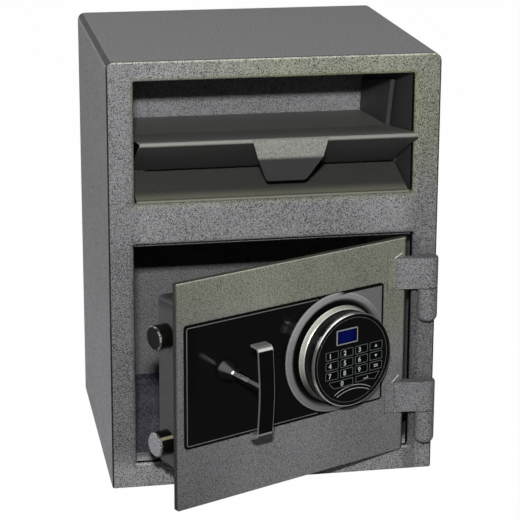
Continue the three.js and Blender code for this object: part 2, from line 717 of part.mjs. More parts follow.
function makeEscutcheon() {
  const foot = ON_FASCIA;
  const top = foot + ESCUTCHEON_HEIGHT;
  const crest = ESCUTCHEON_RADIUS - ESCUTCHEON_BAND;
  const band = onDoor(turned([
    [GROOVE_RADIUS, foot],
    [ESCUTCHEON_RADIUS, foot],
    [ESCUTCHEON_RADIUS, foot + ESCUTCHEON_EDGE],
    [crest, top],
    [crest - 1, top],
    [GROOVE_RADIUS, foot + ESCUTCHEON_EDGE],
    [GROOVE_RADIUS, foot],
  ], TURNED_OUT, RING_SIDES), LOCK_X, LOCK_Z);
  const right = FASCIA_RIGHT - ESCUTCHEON_SIDE_INSET;
  const half = FASCIA_HEIGHT / 2 - ESCUTCHEON_END_INSET;
  const sideOutline = roundCorners([
    [LOCK_X, FASCIA_Z - half],
    [right, FASCIA_Z - half, FASCIA_CORNER],
    [right, FASCIA_Z + half, FASCIA_CORNER],
    [LOCK_X, FASCIA_Z + half],
  ]);
  const side = prism(sideOutline, DRAWN_XZ, PLATE_FRONT - foot - ESCUTCHEON_EDGE, PLATE_FRONT - foot);
  const well = onDoor(rod(crest - 0.5, foot - 1, top + 1, TURNED_OUT, RING_SIDES), LOCK_X, LOCK_Z);
  return join(band, cut(side, well));
}

function makeSkirt() {
  const inner = SKIRT_RADIUS - 6;
  return turned([
    [inner, ON_FASCIA],
    [SKIRT_RADIUS, ON_FASCIA],
    [SKIRT_RADIUS, SKIRT_SHOULDER],
    [SKIRT_RADIUS - 0.6, SKIRT_SHOULDER + 1.2],
    [HOUSING_RADIUS + 0.6, SKIRT_TOP - 0.5],
    [HOUSING_RADIUS, SKIRT_TOP],
    [inner, SKIRT_TOP],
    [inner, ON_FASCIA],
  ], TURNED_OUT, RING_SIDES);
}

function makeHousing() {
  const foot = SKIRT_TOP + SEAT;
  return turned([
    [CABLE_HOLE, foot],
    [HOUSING_RADIUS, foot],
    [HOUSING_RADIUS, HOUSING_TOP],
    [HOUSING_RADIUS - HOUSING_WALL, HOUSING_TOP],
    [HOUSING_RADIUS - HOUSING_WALL, foot + 2],
    [CABLE_HOLE, foot + 2],
    [CABLE_HOLE, foot],
  ], TURNED_OUT, RING_SIDES);
}

function makeBezel() {
  const inner = BEZEL_RADIUS - BEZEL_WIDTH;
  const foot = HOUSING_TOP + SEAT;
  const crown = arc(new THREE.Vector2(BEZEL_RADIUS - BEZEL_WIDTH / 2, BEZEL_TOP - 1.2), BEZEL_WIDTH / 2, 0, 180, 6);
  const profile = crown.map((p) => [p.x, BEZEL_TOP - 1.2 + (p.y - BEZEL_TOP + 1.2) * 0.65]);
  return turned([[inner, foot], [BEZEL_RADIUS, foot], ...profile, [inner, foot]], TURNED_OUT, RING_SIDES);
}

function keyRectangle(column, row) {
  const x = KEY_COLUMN_START + column * KEY_PITCH_X;
  const z = KEY_ROW_START - row * KEY_PITCH_Z;
  return [[x - KEY_WIDTH / 2, z - KEY_HEIGHT / 2], [x + KEY_WIDTH / 2, z - KEY_HEIGHT / 2],
    [x + KEY_WIDTH / 2, z + KEY_HEIGHT / 2], [x - KEY_WIDTH / 2, z + KEY_HEIGHT / 2]];
}

// The two wide keys of the fourth row follow the round face and the cover below them.
function bottomKeys() {
  const top = KEY_ROW_START - 3 * KEY_PITCH_Z + KEY_HEIGHT / 2;
  const bottom = top - KEY_HEIGHT;
  const left = KEY_COLUMN_START - KEY_WIDTH / 4;
  const split = KEY_COLUMN_START + KEY_PITCH_X + KEY_WIDTH / 2 + 0.7;
  const right = KEY_COLUMN_START + 3 * KEY_PITCH_X + KEY_WIDTH * 0.38;
  const chamfer = KEY_HEIGHT * 0.75;
  const gap = KEY_PITCH_X - KEY_WIDTH;
  return {
    key_0: [[left, top], [left, bottom + chamfer], [left + chamfer, bottom], [split, bottom], [split, top]],
    key_enter: [[split + gap, top], [split + gap, bottom + 1], [(split + gap + right) / 2, bottom + 2],
      [right - chamfer, bottom], [right, top]],
  };
}

const KEY_ROWS = [["key_1", "key_2", "key_3", "key_up"], ["key_4", "key_5", "key_6", "key_down"],
  ["key_7", "key_8", "key_9", "key_menu"]];

function keyOutlines() {
  const rows = KEY_ROWS.flatMap((names, row) => names.map((name, column) => [name, keyRectangle(column, row)]));
  return Object.fromEntries([...rows, ...Object.entries(bottomKeys())]);
}

// Moves every side of a convex outline outwards by one distance.
function grow(corners, distance) {
  const count = corners.length;
  return corners.map(([x, z], i) => {
    const [px, pz] = corners[(i + count - 1) % count];
    const [nx, nz] = corners[(i + 1) % count];
    const into = new THREE.Vector2(x - px, z - pz).normalize();
    const out = new THREE.Vector2(nx - x, nz - z).normalize();
    const normal = new THREE.Vector2(into.y + out.y, -into.x - out.x).normalize();
    const reach = distance / (normal.x * into.y - normal.y * into.x);
    return [x + normal.x * reach, z + normal.y * reach];
  });
}

function softened(corners, radius) {
  return roundCorners(corners.map(([x, z]) => [x, z, radius]), true, 2);
}

function displayOutline(margin) {
  return roundedRectangle(DISPLAY_X - DISPLAY_WIDTH / 2 - margin, DISPLAY_X + DISPLAY_WIDTH / 2 + margin,
    DISPLAY_Z - DISPLAY_HEIGHT / 2 - margin, DISPLAY_Z + DISPLAY_HEIGHT / 2 + margin, 1, 2);
}

// A lens between two arcs that meet at its ends.
function coverOutline(margin) {
  const half = COVER_HALF_WIDTH + margin;
  const bow = (rise, fromSide) => {
    const radius = (half * half + rise * rise) / (2 * rise);
    const sweep = THREE.MathUtils.radToDeg(Math.asin(half / radius));
    const centre = new THREE.Vector2(COVER_X, COVER_Z + (fromSide > 0 ? rise - radius : radius - rise));
    const middle = fromSide > 0 ? 90 : 270;
    return arc(centre, radius, middle - sweep, middle + sweep, 10).slice(0, -1);
  };
  return [...bow(COVER_RISE + margin, 1), ...bow(COVER_DROP + margin, -1)];
}

function makeFace() {
  const disc = rod(FACE_RADIUS, FACE_TOP - FACE_THICKNESS, FACE_TOP, TURNED_OUT, RING_SIDES);
  const outlines = Object.values(keyOutlines()).map((corners) => softened(grow(corners, KEY_GAP), KEY_CORNER));
  const tools = [...outlines, displayOutline(SEAT), coverOutline(SEAT)].map((outline) =>
    prism(outline, DRAWN_XZ, -FACE_TOP - 1, -FACE_TOP + FACE_THICKNESS + 1));
  return cut(disc, ...tools);
}

function makeKeys() {
  return Object.entries(keyOutlines()).map(([name, corners]) => {
    const foot = FACE_TOP - FACE_THICKNESS - SEAT - KEY_FLANGE_THICKNESS;
    const cap = prism(softened(corners, KEY_CORNER - KEY_GAP), DRAWN_XZ, -FACE_TOP - KEY_PROUD, -foot - 0.5);
    const flange = prism(softened(grow(corners, KEY_GAP + KEY_FLANGE), KEY_CORNER), DRAWN_XZ,
      -foot - KEY_FLANGE_THICKNESS, -foot);
    return piece(name, onDoor(join(cap, flange), LOCK_X, LOCK_Z), GLOSS_BLACK);
  });
}

function makeLock() {
  const place = (geometry) => onDoor(geometry, LOCK_X, LOCK_Z);
  const frameHoles = [displayOutline(-DISPLAY_BORDER)];
  const displayFrame = prism(displayOutline(0), DRAWN_XZ, -FACE_TOP - DISPLAY_PROUD, -FACE_TOP + FACE_THICKNESS,
    { holes: frameHoles });
  const window = prism(displayOutline(-DISPLAY_BORDER - SEAT), DRAWN_XZ, -FACE_TOP, -FACE_TOP + FACE_THICKNESS);
  const cover = prism(coverOutline(0), DRAWN_XZ, -FACE_TOP - 0.9, -FACE_TOP + FACE_THICKNESS);
  return [
    piece("lock_escutcheon", makeEscutcheon(), SATIN_SILVER),
    piece("lock_skirt", place(makeSkirt()), SATIN_SILVER),
    piece("lock_housing", place(makeHousing()), GLOSS_BLACK),
    piece("lock_bezel", place(makeBezel()), CHROME),
    piece("lock_face", place(makeFace()), GLOSS_BLACK),
    piece("display_module", place(displayFrame), SATIN_SILVER),
    piece("display_window", place(window), DISPLAY_BLUE),
    piece("battery_cover", place(cover), GLOSS_BLACK),
    ...makeKeys(),
  ];
}

// Handle, with the spindle that reaches through the door to the cam

function makeStem() {
  const spindleEnd = PLATE_FRONT - CAM_REAR;
  const hubTop = ON_FASCIA + HUB_LENGTH;
  return turned([
    [0, spindleEnd],
    [STEM_RADIUS, spindleEnd],
    [STEM_RADIUS, ON_FASCIA],
    [HUB_RADIUS, ON_FASCIA],
    [HUB_RADIUS, ON_FASCIA + 2],
    [STEM_RADIUS + 1.5, hubTop],
    [STEM_RADIUS, hubTop + 1.5],
    [STEM_RADIUS, GRIP_TOP - GRIP_THICKNESS - SEAT],
    [0, GRIP_TOP - GRIP_THICKNESS - SEAT],
  ], TURNED_OUT, BARREL_SIDES);
}

function makeGrip() {
  const middle = GRIP_TOP - GRIP_THICKNESS / 2;
  const half = GRIP_LENGTH / 2 - GRIP_THICKNESS / 2;
  const end = middle - GRIP_BOW;
  const bowRadius = half ** 2 / (2 * GRIP_BOW);
  const rise = bowRadius * (1 / Math.cos(Math.atan(GRIP_BOW / half)) - 1);
  const line = roundCorners([
    [-(end - GRIP_RETURN + GRIP_THICKNESS / 2), -half],
    [-end, -half, GRIP_CORNER],
    [-(middle + rise), 0, bowRadius / 2],
    [-end, half, GRIP_CORNER],
    [-(end - GRIP_RETURN + GRIP_THICKNESS / 2), half],
  ], false, 5);
  const strap = prism(band(line, GRIP_THICKNESS), DRAWN_YZ, -GRIP_WIDTH / 2, GRIP_WIDTH / 2);
  return strap.translate(0, 0, -GRIP_DROP);
}

function makeCam() {
  const radius = CRANK + CAM_PIN_RADIUS + 2.5;
  const front = PLATE_FRONT - CAM_FRONT;
  const rear = PLATE_FRONT - CAM_REAR;
  const disc = turned(ringProfile(STEM_RADIUS + SEAT, radius, rear, front), TURNED_OUT);
  const pin = rod(CAM_PIN_RADIUS, rear - CAM_PIN_LENGTH, rear + 1, TURNED_OUT, HOLE_SIDES);
  return join(disc, pin.translate(-CRANK_REST, 0, CRANK_REST));
}

function makeSpindleBush() {
  const rear = -DOOR_PLATE - SEAT;
  return turned([
    [BUSH_BORE, -SEAT],
    [BUSH_BORE, rear - BUSH_FLANGE],
    [BUSH_OUTER + 3, rear - BUSH_FLANGE],
    [BUSH_OUTER + 3, rear],
    [BUSH_OUTER, rear],
    [BUSH_OUTER, -SEAT],
    [BUSH_BORE, -SEAT],
  ], TURNED_OUT, BARREL_SIDES);
}

function makeHandle() {
  const place = (geometry) => onDoor(geometry, HANDLE_X, HANDLE_Z);
  return [
    piece("handle_stem", place(makeStem()), CHROME),
    piece("handle_grip", place(makeGrip()), CHROME),
    piece("handle_cam", place(makeCam()), STEEL),
    piece("spindle_bush", place(makeSpindleBush()), BRASS),
  ];
}

// Bolts, their carrier and guides, and the case of the lock

function makeBolt(z) {
  const profile = [[0, 0], [BOLT_RADIUS - BOLT_CHAMFER, 0], [BOLT_RADIUS, BOLT_CHAMFER], [BOLT_RADIUS, BOLT_LENGTH],
    [SPIGOT_RADIUS, BOLT_LENGTH], [SPIGOT_RADIUS, BOLT_LENGTH + SPIGOT_LENGTH], [0, BOLT_LENGTH + SPIGOT_LENGTH]];
  return turned(profile, TURNED_X).translate(BOLT_TIP_X, BOLT_Y, z);
}

function makeCarrier() {
  const webLeft = BOLT_SHOULDER_X + SEAT;
  const webRight = webLeft + CARRIER_WEB;
  const bottom = BOLT_Z[0] - CARRIER_MARGIN;
  const top = BOLT_Z[1] + CARRIER_MARGIN;
  const webOutline = roundedRectangle(CARRIER_FRONT, BOLT_Y + BOLT_RADIUS, bottom, top, 3);
  const web = prism(webOutline, DRAWN_YZ, webLeft, webRight);
  const slotX = HANDLE_X - CRANK_REST;
  const slotHalf = CAM_PIN_RADIUS + SLOT_PLAY;
  const slotBottom = HANDLE_Z + CRANK_REST - slotHalf;
  const slotTop = HANDLE_Z + CRANK + slotHalf;
  const margin = 7;
  const flangeOutline = roundCorners([
    [webLeft, slotBottom - 2 * margin],
    [webRight + 2, slotBottom - 2 * margin],
    [slotX + slotHalf + margin, slotBottom - margin, 4],
    [slotX + slotHalf + margin, slotTop + margin, 4],
    [webLeft, slotTop + margin],
  ]);
  const flange = prism(flangeOutline, DRAWN_XZ, CARRIER_FRONT, CARRIER_FRONT + CARRIER_FLANGE);
  const slotOutline = roundedRectangle(slotX - slotHalf, slotX + slotHalf, slotBottom, slotTop, slotHalf * 0.9);
  const slot = prism(slotOutline, DRAWN_XZ, CARRIER_FRONT - 1, CARRIER_FRONT + CARRIER_FLANGE + 1);
  const spigotHoles = BOLT_Z.map((z) =>
    rod(SPIGOT_RADIUS + SEAT, webLeft - 1, webRight + 1, TURNED_X, HOLE_SIDES).translate(0, BOLT_Y, z));
  return cut(join(web, flange), slot, ...spigotHoles);
}

function makeGuide(z) {
  const left = PAN_LEFT + GUIDE_INSET;
  const right = left + GUIDE_PLATE;
  const outline = roundedRectangle(PAN_FRONT, BOLT_Y + BOLT_RADIUS + 2.5, z - GUIDE_HALF_HEIGHT,
    z + GUIDE_HALF_HEIGHT, 2);
  const upright = prism(outline, DRAWN_YZ, left, right);
  const foot = box(right - 1, right + GUIDE_FOOT, PAN_FRONT, PAN_FRONT + 3, z - GUIDE_HALF_HEIGHT + 3,
    z + GUIDE_HALF_HEIGHT - 3);
  const bore = rod(BOLT_RADIUS + SLIDE_GAP, left - 1, right + 1, TURNED_X).translate(0, BOLT_Y, z);
  return cut(join(upright, foot), bore);
}

function makeLockCase() {
  const right = LOCK_X + LOCK_CASE_PAST;
  const outline = roundedRectangle(right - LOCK_CASE_WIDTH, right, LOCK_Z - LOCK_CASE_HEIGHT / 2,
    LOCK_Z + LOCK_CASE_HEIGHT / 2, 3);
  return prism(outline, DRAWN_XZ, PAN_FRONT, PAN_FRONT + LOCK_CASE_DEPTH, { edgeRound: 1 });
}

function makeBoltWork() {
  return [
    piece("bolt_lower", makeBolt(BOLT_Z[0]), STEEL),
    piece("bolt_upper", makeBolt(BOLT_Z[1]), STEEL),
    piece("bolt_carrier", makeCarrier(), STEEL),
    piece("bolt_guide_lower", makeGuide(BOLT_Z[0]), STEEL),
    piece("bolt_guide_upper", makeGuide(BOLT_Z[1]), STEEL),
    piece("lock_case", makeLockCase(), STEEL),
  ];
}

// The door swings about the hinge pins. Its pieces are drawn as if it were shut.
function makeDoor() {
  const shut = new THREE.Group();
  shut.position.set(-HINGE_X, -HINGE_Y, 0);
  shut.add(
    piece("door_plate", makeDoorPlate(), HAMMERTONE),
    piece("door_pan", makeDoorPan(), HAMMERTONE),
    piece("fascia_plate", makeFascia(), GLOSS_BLACK),
    ...makeLeaves(),
    ...makeLock(),
    ...makeHandle(),
    ...makeBoltWork(),
  );
  const swing = new THREE.Group();
  swing.position.set(HINGE_X, HINGE_Y, 0);
  swing.rotation.z = radians(DOOR_AJAR);
  swing.add(shut);
  return swing;
}

// Deposit hopper: the fixed chute and the tray that turns inside it

// Height of the tray floor's upper face at a depth behind the lip.
function floorTop(depth) {
  const front = [TRAY_LIP_DEPTH, TRAY_LIP_RISE + TRAY_LIP_RADIUS + TRAY_SHEET / 2];
  const dish = [TRAY_DISH_DEPTH, TRAY_DISH_RISE];
  const rear = [TRAY_REAR_DEPTH, TRAY_REAR_RISE];
  const [from, to] = depth < TRAY_DISH_DEPTH ? [front, dish] : [dish, rear];
  return HOPPER_BOTTOM + from[1] + ((to[1] - from[1]) * (depth - from[0])) / (to[0] - from[0]);
}

// One sheet: a rolled eye on the axle, the underside panel, the hemmed front lip and the dished floor.
function makeTray() {
  const eyeRadius = AXLE_RADIUS + SEAT + TRAY_SHEET / 2;
  const lipToAxle = AXLE.clone().sub(TRAY_LIP);
  const panelNormal = tangentAngle(lipToAxle, eyeRadius - TRAY_LIP_RADIUS);
  const dish = new THREE.Vector2(FRONT + TRAY_DISH_DEPTH, HOPPER_BOTTOM + TRAY_DISH_RISE - TRAY_SHEET / 2);
  const rear = new THREE.Vector2(FRONT + TRAY_REAR_DEPTH, HOPPER_BOTTOM + TRAY_REAR_RISE - TRAY_SHEET / 2);
  const floorNormal = tangentAngle(dish.clone().sub(TRAY_LIP), TRAY_LIP_RADIUS);
  const line = [
    ...arc(AXLE, eyeRadius, panelNormal + 180 + EYE_WRAP, panelNormal + 180, 12),
    ...arc(TRAY_LIP, TRAY_LIP_RADIUS, panelNormal + 180, floorNormal, 6),
    dish,
    rear,
  ];
  return prism(band(line, TRAY_SHEET), DRAWN_YZ, -TRAY_HALF_WIDTH, TRAY_HALF_WIDTH);
}

function makeRightCheek() {
  const swing = Math.hypot(TRAY_REAR_DEPTH - AXLE_DEPTH, TRAY_REAR_RISE - AXLE_RISE);
  const angleAt = (rise) => THREE.MathUtils.radToDeg(Math.asin((rise - AXLE_RISE) / swing));
  const seatAt = (depth) => floorTop(depth) + SEAT;
  const frontFoot = new THREE.Vector2(FRONT + CHEEK_FRONT_DEPTH, seatAt(CHEEK_FRONT_DEPTH));
  const frontTop = new THREE.Vector2(FRONT + CHEEK_TOP_DEPTH, HOPPER_BOTTOM + CHEEK_TOP_RISE);
  const rearEdge = arc(AXLE, swing, angleAt(CHEEK_REAR_RISE), angleAt(TRAY_REAR_RISE + 2 * SEAT), 4);
  const outline = [
    frontFoot,
    frontTop,
    ...rearEdge,
    new THREE.Vector2(FRONT + TRAY_DISH_DEPTH, seatAt(TRAY_DISH_DEPTH)),
  ];
  const outer = TRAY_HALF_WIDTH - SEAT;
  const plate = prism(outline, DRAWN_YZ, outer - TRAY_SHEET, outer);
  const inward = new THREE.Vector2(TRAY_SHEET, 0);
  const frontFlange = prism([frontFoot, frontTop, frontTop.clone().add(inward), frontFoot.clone().add(inward)],
    DRAWN_YZ, outer - CHEEK_FLANGE, outer);
  return join(plate, frontFlange);
}

function makeTab() {
  const frontFace = TRAY_LIP.x - TRAY_LIP_RADIUS - TRAY_SHEET / 2 - SEAT - TRAY_SHEET / 2;
  const top = TRAY_LIP.y + TRAY_SHEET;
  const bend = top - TAB_UPPER;
  const end = bend - TAB_LOWER_DROP;
  const line = roundCorners([[frontFace, top], [frontFace, bend, 4], [frontFace + TAB_LOWER_BACK, end]], false);
  const strip = prism(band(line, TRAY_SHEET), DRAWN_YZ, TAB_X - TAB_TOP_WIDTH, TAB_X + TAB_TOP_WIDTH);
  const sides = [[TAB_TOP_WIDTH, top + 2, 0], [TAB_BEND_WIDTH, bend, 20], [TAB_END_WIDTH, end - 1, 6]];
  const left = sides.map(([width, z, radius]) => [TAB_X - width / 2, z, radius]);
  const right = sides.map(([width, z, radius]) => [TAB_X + width / 2, z, radius]).reverse();
  const outline = roundCorners([...left, ...right]);
  return common(strip, prism(outline, DRAWN_XZ, frontFace - 5, frontFace + TAB_LOWER_BACK + 5));
}

const ARM_LEFT = -CHUTE_OUTER - BUSH_FLANGE - 2 * SEAT - ARM_THICKNESS;

function makeStopArm() {
  const tip = arc(new THREE.Vector2(ARM_LENGTH - ARM_HALF_WIDTH, 0), ARM_HALF_WIDTH, -90, 90, 6);
  const hubRadius = ARM_HALF_WIDTH * 2;
  const spread = THREE.MathUtils.radToDeg(Math.asin(ARM_HALF_WIDTH / hubRadius));
  const hub = arc(new THREE.Vector2(0, 0), hubRadius, spread, FULL_TURN - spread, 16);
  const outline = [...tip, ...hub].map((p) => p.rotateAround(new THREE.Vector2(), radians(ARM_REST_ANGLE)).add(AXLE));
  const bore = circle(AXLE.x, AXLE.y, AXLE_RADIUS + SEAT);
  return prism(outline, DRAWN_YZ, ARM_LEFT, ARM_LEFT + ARM_THICKNESS, { holes: [bore] });
}

function makeSidePlate() {
  const behind = FRONT + BAFFLE_DEPTH + 3 * CHUTE_SHEET;
  const foot = AXLE.y - ARM_LENGTH - 2;
  const outline = roundCorners([
    [BEHIND_LIP, foot, 2],
    [AXLE.x + ARM_LENGTH + 10, foot, 20],
    [behind, HOPPER_BOTTOM + BAFFLE_RISE - 12, 10],
    [behind, ROOF],
    [BEHIND_LIP, ROOF],
  ]);
  const holes = [circle(AXLE.x, AXLE.y, BUSH_RADIUS + SEAT)];
  const plate = prism(outline, DRAWN_YZ, CHUTE_INNER, CHUTE_OUTER, { holes });
  const flange = box(CHUTE_OUTER - 1, CHUTE_OUTER + CHUTE_FLANGE, BEHIND_LIP, behind, ROOF - CHUTE_SHEET, ROOF);
  return join(plate, flange);
}

// Two pegs on the left side plate end the travel of the stop arm.
function makeLeftSidePlate() {
  const armSpread = Math.asin(ARM_HALF_WIDTH / PEG_ORBIT) + Math.asin((PEG_RADIUS + SLIDE_GAP) / PEG_ORBIT);
  const spread = THREE.MathUtils.radToDeg(armSpread);
  const pegs = [ARM_REST_ANGLE + spread, ARM_REST_ANGLE - TRAY_TRAVEL - spread].map((degrees) => {
    const peg = rod(PEG_RADIUS, -ARM_LEFT, CHUTE_OUTER - 1, TURNED_X, HOLE_SIDES / 2);
    const y = AXLE.x + PEG_ORBIT * Math.cos(radians(degrees));
    const z = AXLE.y + PEG_ORBIT * Math.sin(radians(degrees));
    return peg.translate(0, y, z);
  });
  return mirrorX(join(makeSidePlate(), ...pegs));
}

function makeSill() {
  const half = TRAY_HALF_WIDTH + SEAT;
  const start = HOPPER_BOTTOM + SEAT + CHUTE_SHEET / 2;
  const line = roundCorners([
    [FRONT + SILL_START_DEPTH, start],
    [FRONT + SILL_BEND_DEPTH, start, 8],
    [FRONT + SILL_REAR_DEPTH, HOPPER_BOTTOM + SILL_RISE, 2],
    [FRONT + SILL_REAR_DEPTH, HOPPER_BOTTOM],
  ], false);
  return prism(band(line, CHUTE_SHEET), DRAWN_YZ, -half, half);
}

function makeBaffle() {
  const half = CHUTE_INNER - SEAT;
  const middle = FRONT + BAFFLE_DEPTH + CHUTE_SHEET / 2;
  const bottom = HOPPER_BOTTOM + BAFFLE_RISE;
  const line = roundCorners([
    [middle + CHUTE_FLANGE, ROOF - CHUTE_SHEET / 2],
    [middle, ROOF - CHUTE_SHEET / 2, 3],
    [middle, bottom, 2],
    [middle + CHUTE_FLANGE / 2, bottom],
  ], false);
  return prism(band(line, CHUTE_SHEET), DRAWN_YZ, -half, half);
}

function makeAxleBush() {
  const inner = TRAY_HALF_WIDTH + 2 * SEAT;
  const collar = CHUTE_INNER - SEAT;
  const outer = CHUTE_OUTER + BUSH_FLANGE;
  return turned([
    [AXLE_RADIUS + SEAT, inner],
    [BUSH_RADIUS + 2, inner],
    [BUSH_RADIUS + 2, collar],
    [BUSH_RADIUS, collar],
    [BUSH_RADIUS, outer],
    [AXLE_RADIUS + SEAT, outer],
    [AXLE_RADIUS + SEAT, inner],
  ], TURNED_X, HOLE_SIDES).translate(0, AXLE.x, AXLE.y);
}

function makeHopper() {
  const axle = rod(AXLE_RADIUS, ARM_LEFT - 1, CHUTE_OUTER + BUSH_FLANGE, TURNED_X, HOLE_SIDES);
  const cheek = makeRightCheek();
  const bush = makeAxleBush();
  return [
    piece("hopper_side_right", makeSidePlate(), SMOOTH_GREY),
    piece("hopper_side_left", makeLeftSidePlate(), SMOOTH_GREY),
    piece("hopper_sill", makeSill(), SMOOTH_GREY),
    piece("hopper_baffle", makeBaffle(), HAMMERTONE),
    piece("axle_bush_right", bush, SMOOTH_GREY),
    piece("axle_bush_left", mirrorX(bush), SMOOTH_GREY),
    piece("deposit_tray", makeTray(), SMOOTH_GREY),
    piece("tray_cheek_right", cheek, SMOOTH_GREY),
    piece("tray_cheek_left", mirrorX(cheek), SMOOTH_GREY),
    piece("pull_tab", makeTab(), SMOOTH_GREY),
    piece("tray_axle", axle.translate(0, AXLE.x, AXLE.y), STEEL),
    piece("stop_arm", makeStopArm(), STEEL),
  ];
}

const safe = new THREE.Group();
safe.add(...makeCabinet(), ...makeFixedHinges(), ...makeHopper(), makeDoor());

export default safe;
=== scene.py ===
"""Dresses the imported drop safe: finishes, key legends, trim lines, weld beads, carpet pile and the studio.

Sizes are millimetres and finished meshes metres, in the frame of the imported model.
"""

import json
import logging
import math
from dataclasses import dataclass, field
from enum import Enum
from typing import ClassVar

import bmesh
import bpy
from mathutils import Matrix, Vector

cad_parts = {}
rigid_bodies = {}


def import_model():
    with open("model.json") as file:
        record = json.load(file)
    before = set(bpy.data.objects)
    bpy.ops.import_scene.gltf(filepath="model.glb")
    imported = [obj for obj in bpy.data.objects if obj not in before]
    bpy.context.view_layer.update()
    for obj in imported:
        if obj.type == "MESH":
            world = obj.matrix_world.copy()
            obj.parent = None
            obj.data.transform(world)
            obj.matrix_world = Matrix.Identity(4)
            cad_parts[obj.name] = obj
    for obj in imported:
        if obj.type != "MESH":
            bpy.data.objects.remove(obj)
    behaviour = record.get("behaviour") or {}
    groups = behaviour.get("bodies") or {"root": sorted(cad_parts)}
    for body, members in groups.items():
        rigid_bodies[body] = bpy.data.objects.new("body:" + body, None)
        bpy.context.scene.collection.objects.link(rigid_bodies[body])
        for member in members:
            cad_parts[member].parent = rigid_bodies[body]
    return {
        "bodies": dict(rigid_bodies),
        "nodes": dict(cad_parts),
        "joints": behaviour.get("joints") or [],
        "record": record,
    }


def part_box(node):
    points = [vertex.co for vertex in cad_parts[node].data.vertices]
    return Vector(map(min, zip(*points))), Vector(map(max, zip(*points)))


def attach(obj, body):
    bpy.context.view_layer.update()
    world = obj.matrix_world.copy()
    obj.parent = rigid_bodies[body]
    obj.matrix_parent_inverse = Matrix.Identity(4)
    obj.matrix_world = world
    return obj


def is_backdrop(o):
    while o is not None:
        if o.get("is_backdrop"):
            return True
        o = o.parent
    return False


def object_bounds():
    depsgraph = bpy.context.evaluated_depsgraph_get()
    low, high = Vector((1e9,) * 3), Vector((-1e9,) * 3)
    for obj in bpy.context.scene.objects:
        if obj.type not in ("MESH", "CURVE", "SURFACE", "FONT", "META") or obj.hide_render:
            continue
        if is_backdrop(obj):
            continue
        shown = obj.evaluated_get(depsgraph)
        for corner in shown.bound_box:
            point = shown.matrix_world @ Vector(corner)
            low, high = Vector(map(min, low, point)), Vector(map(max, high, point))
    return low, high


MM = 0.001
IMAGE_SIZE = 520
WHITE = (1.0, 1.0, 1.0, 1.0)

Mesh = bpy.types.Mesh
Material = bpy.types.Material
Number = float | int
Point2 = tuple[float, float]
Point3 = tuple[float, float, float]
Colour = tuple[float, float, float]
Shade = Colour | Number

log = logging.getLogger("drop_safe")


# Node trees


class Value:
    """A socket that takes part in Python expressions."""

    def __init__(self, nodes: "Nodes", socket: bpy.types.NodeSocket | None) -> None:
        """Wraps one output of a node."""
        self.nodes = nodes
        self.socket = socket

    def math(self, operation: str, *others: "Value | Number") -> "Value":
        """Adds a Math node.

        Args:
            operation: the node's operation.
            others: the operands that follow this value.

        Returns:
            The node's result.
        """
        return self.nodes.add("ShaderNodeMath", {"operation": operation}, dict(enumerate((self, *others))))

    def __add__(self, other: "Value | Number") -> "Value":
        """Sum."""
        return self.math("ADD", other)

    def __sub__(self, other: "Value | Number") -> "Value":
        """Difference."""
        return self.math("SUBTRACT", other)

    def __rsub__(self, other: Number) -> "Value":
        """Reflected difference."""
        return self.nodes.add("ShaderNodeMath", {"operation": "SUBTRACT"}, {0: other, 1: self})

    def __mul__(self, other: "Value | Number") -> "Value":
        """Product."""
        return self.math("MULTIPLY", other)

    def __truediv__(self, other: "Value | Number") -> "Value":
        """Quotient."""
        return self.math("DIVIDE", other)

    def __neg__(self) -> "Value":
        """Opposite."""
        return self.math("MULTIPLY", -1)

    def __abs__(self) -> "Value":
        """Absolute value."""
        return self.math("ABSOLUTE")

    __radd__ = __add__
    __rmul__ = __mul__

    def larger(self, other: "Value") -> "Value":
        """The larger of two values."""
        return self.math("MAXIMUM", other)

    def radius(self, other: "Value") -> "Value":
        """The distance from an axis, from the two parts across it."""
        return (self * self + other * other).math("SQRT")

    def step(self, low: Number, high: Number) -> "Value":
        """Smooth step from 0 to 1.

        Args:
            low: where the result is 0.
            high: where the result is 1; it may be below low.

        Returns:
            The step.
        """
        ends = {"Value": self, "From Min": min(low, high), "From Max": max(low, high)}
        rising = self.nodes.add("ShaderNodeMapRange", {"interpolation_type": "SMOOTHSTEP"}, ends)
        return rising if low < high else 1 - rising

    def near(self, middle: Number, full: Number, none: Number) -> "Value":
        """A band about a middle.

        Args:
            middle: of the band.
            full: the distance up to which the result is 1.
            none: the distance from which it is 0.

        Returns:
            The band, from 0 to 1.
        """
        return abs(self - middle).step(none, full)


Parts = tuple[Value, Value, Value]


class Nodes:
    """A node tree with one method that adds any node."""

    def __init__(self, tree: bpy.types.NodeTree) -> None:
        """Takes the tree."""
        self.tree = tree

    def add(self, kind: str, settings: dict | None = None, sockets: dict | None = None,
            output: str | int = 0) -> Value:
        """Adds any node.

        Args:
            kind: the node's type.
            settings: its properties, set before its sockets.
            sockets: values or links by socket name or number.
            output: the output to return, by name or number.

        Returns:
            The chosen output.
        """
        node = self.tree.nodes.new(kind)
        for name, value in (settings or {}).items():
            setattr(node, name, value)
        for name, value in (sockets or {}).items():
            if isinstance(value, Value):
                self.tree.links.new(value.socket, node.inputs[name])
            else:
                node.inputs[name].default_value = value
        return Value(self, node.outputs[output] if node.outputs else None)


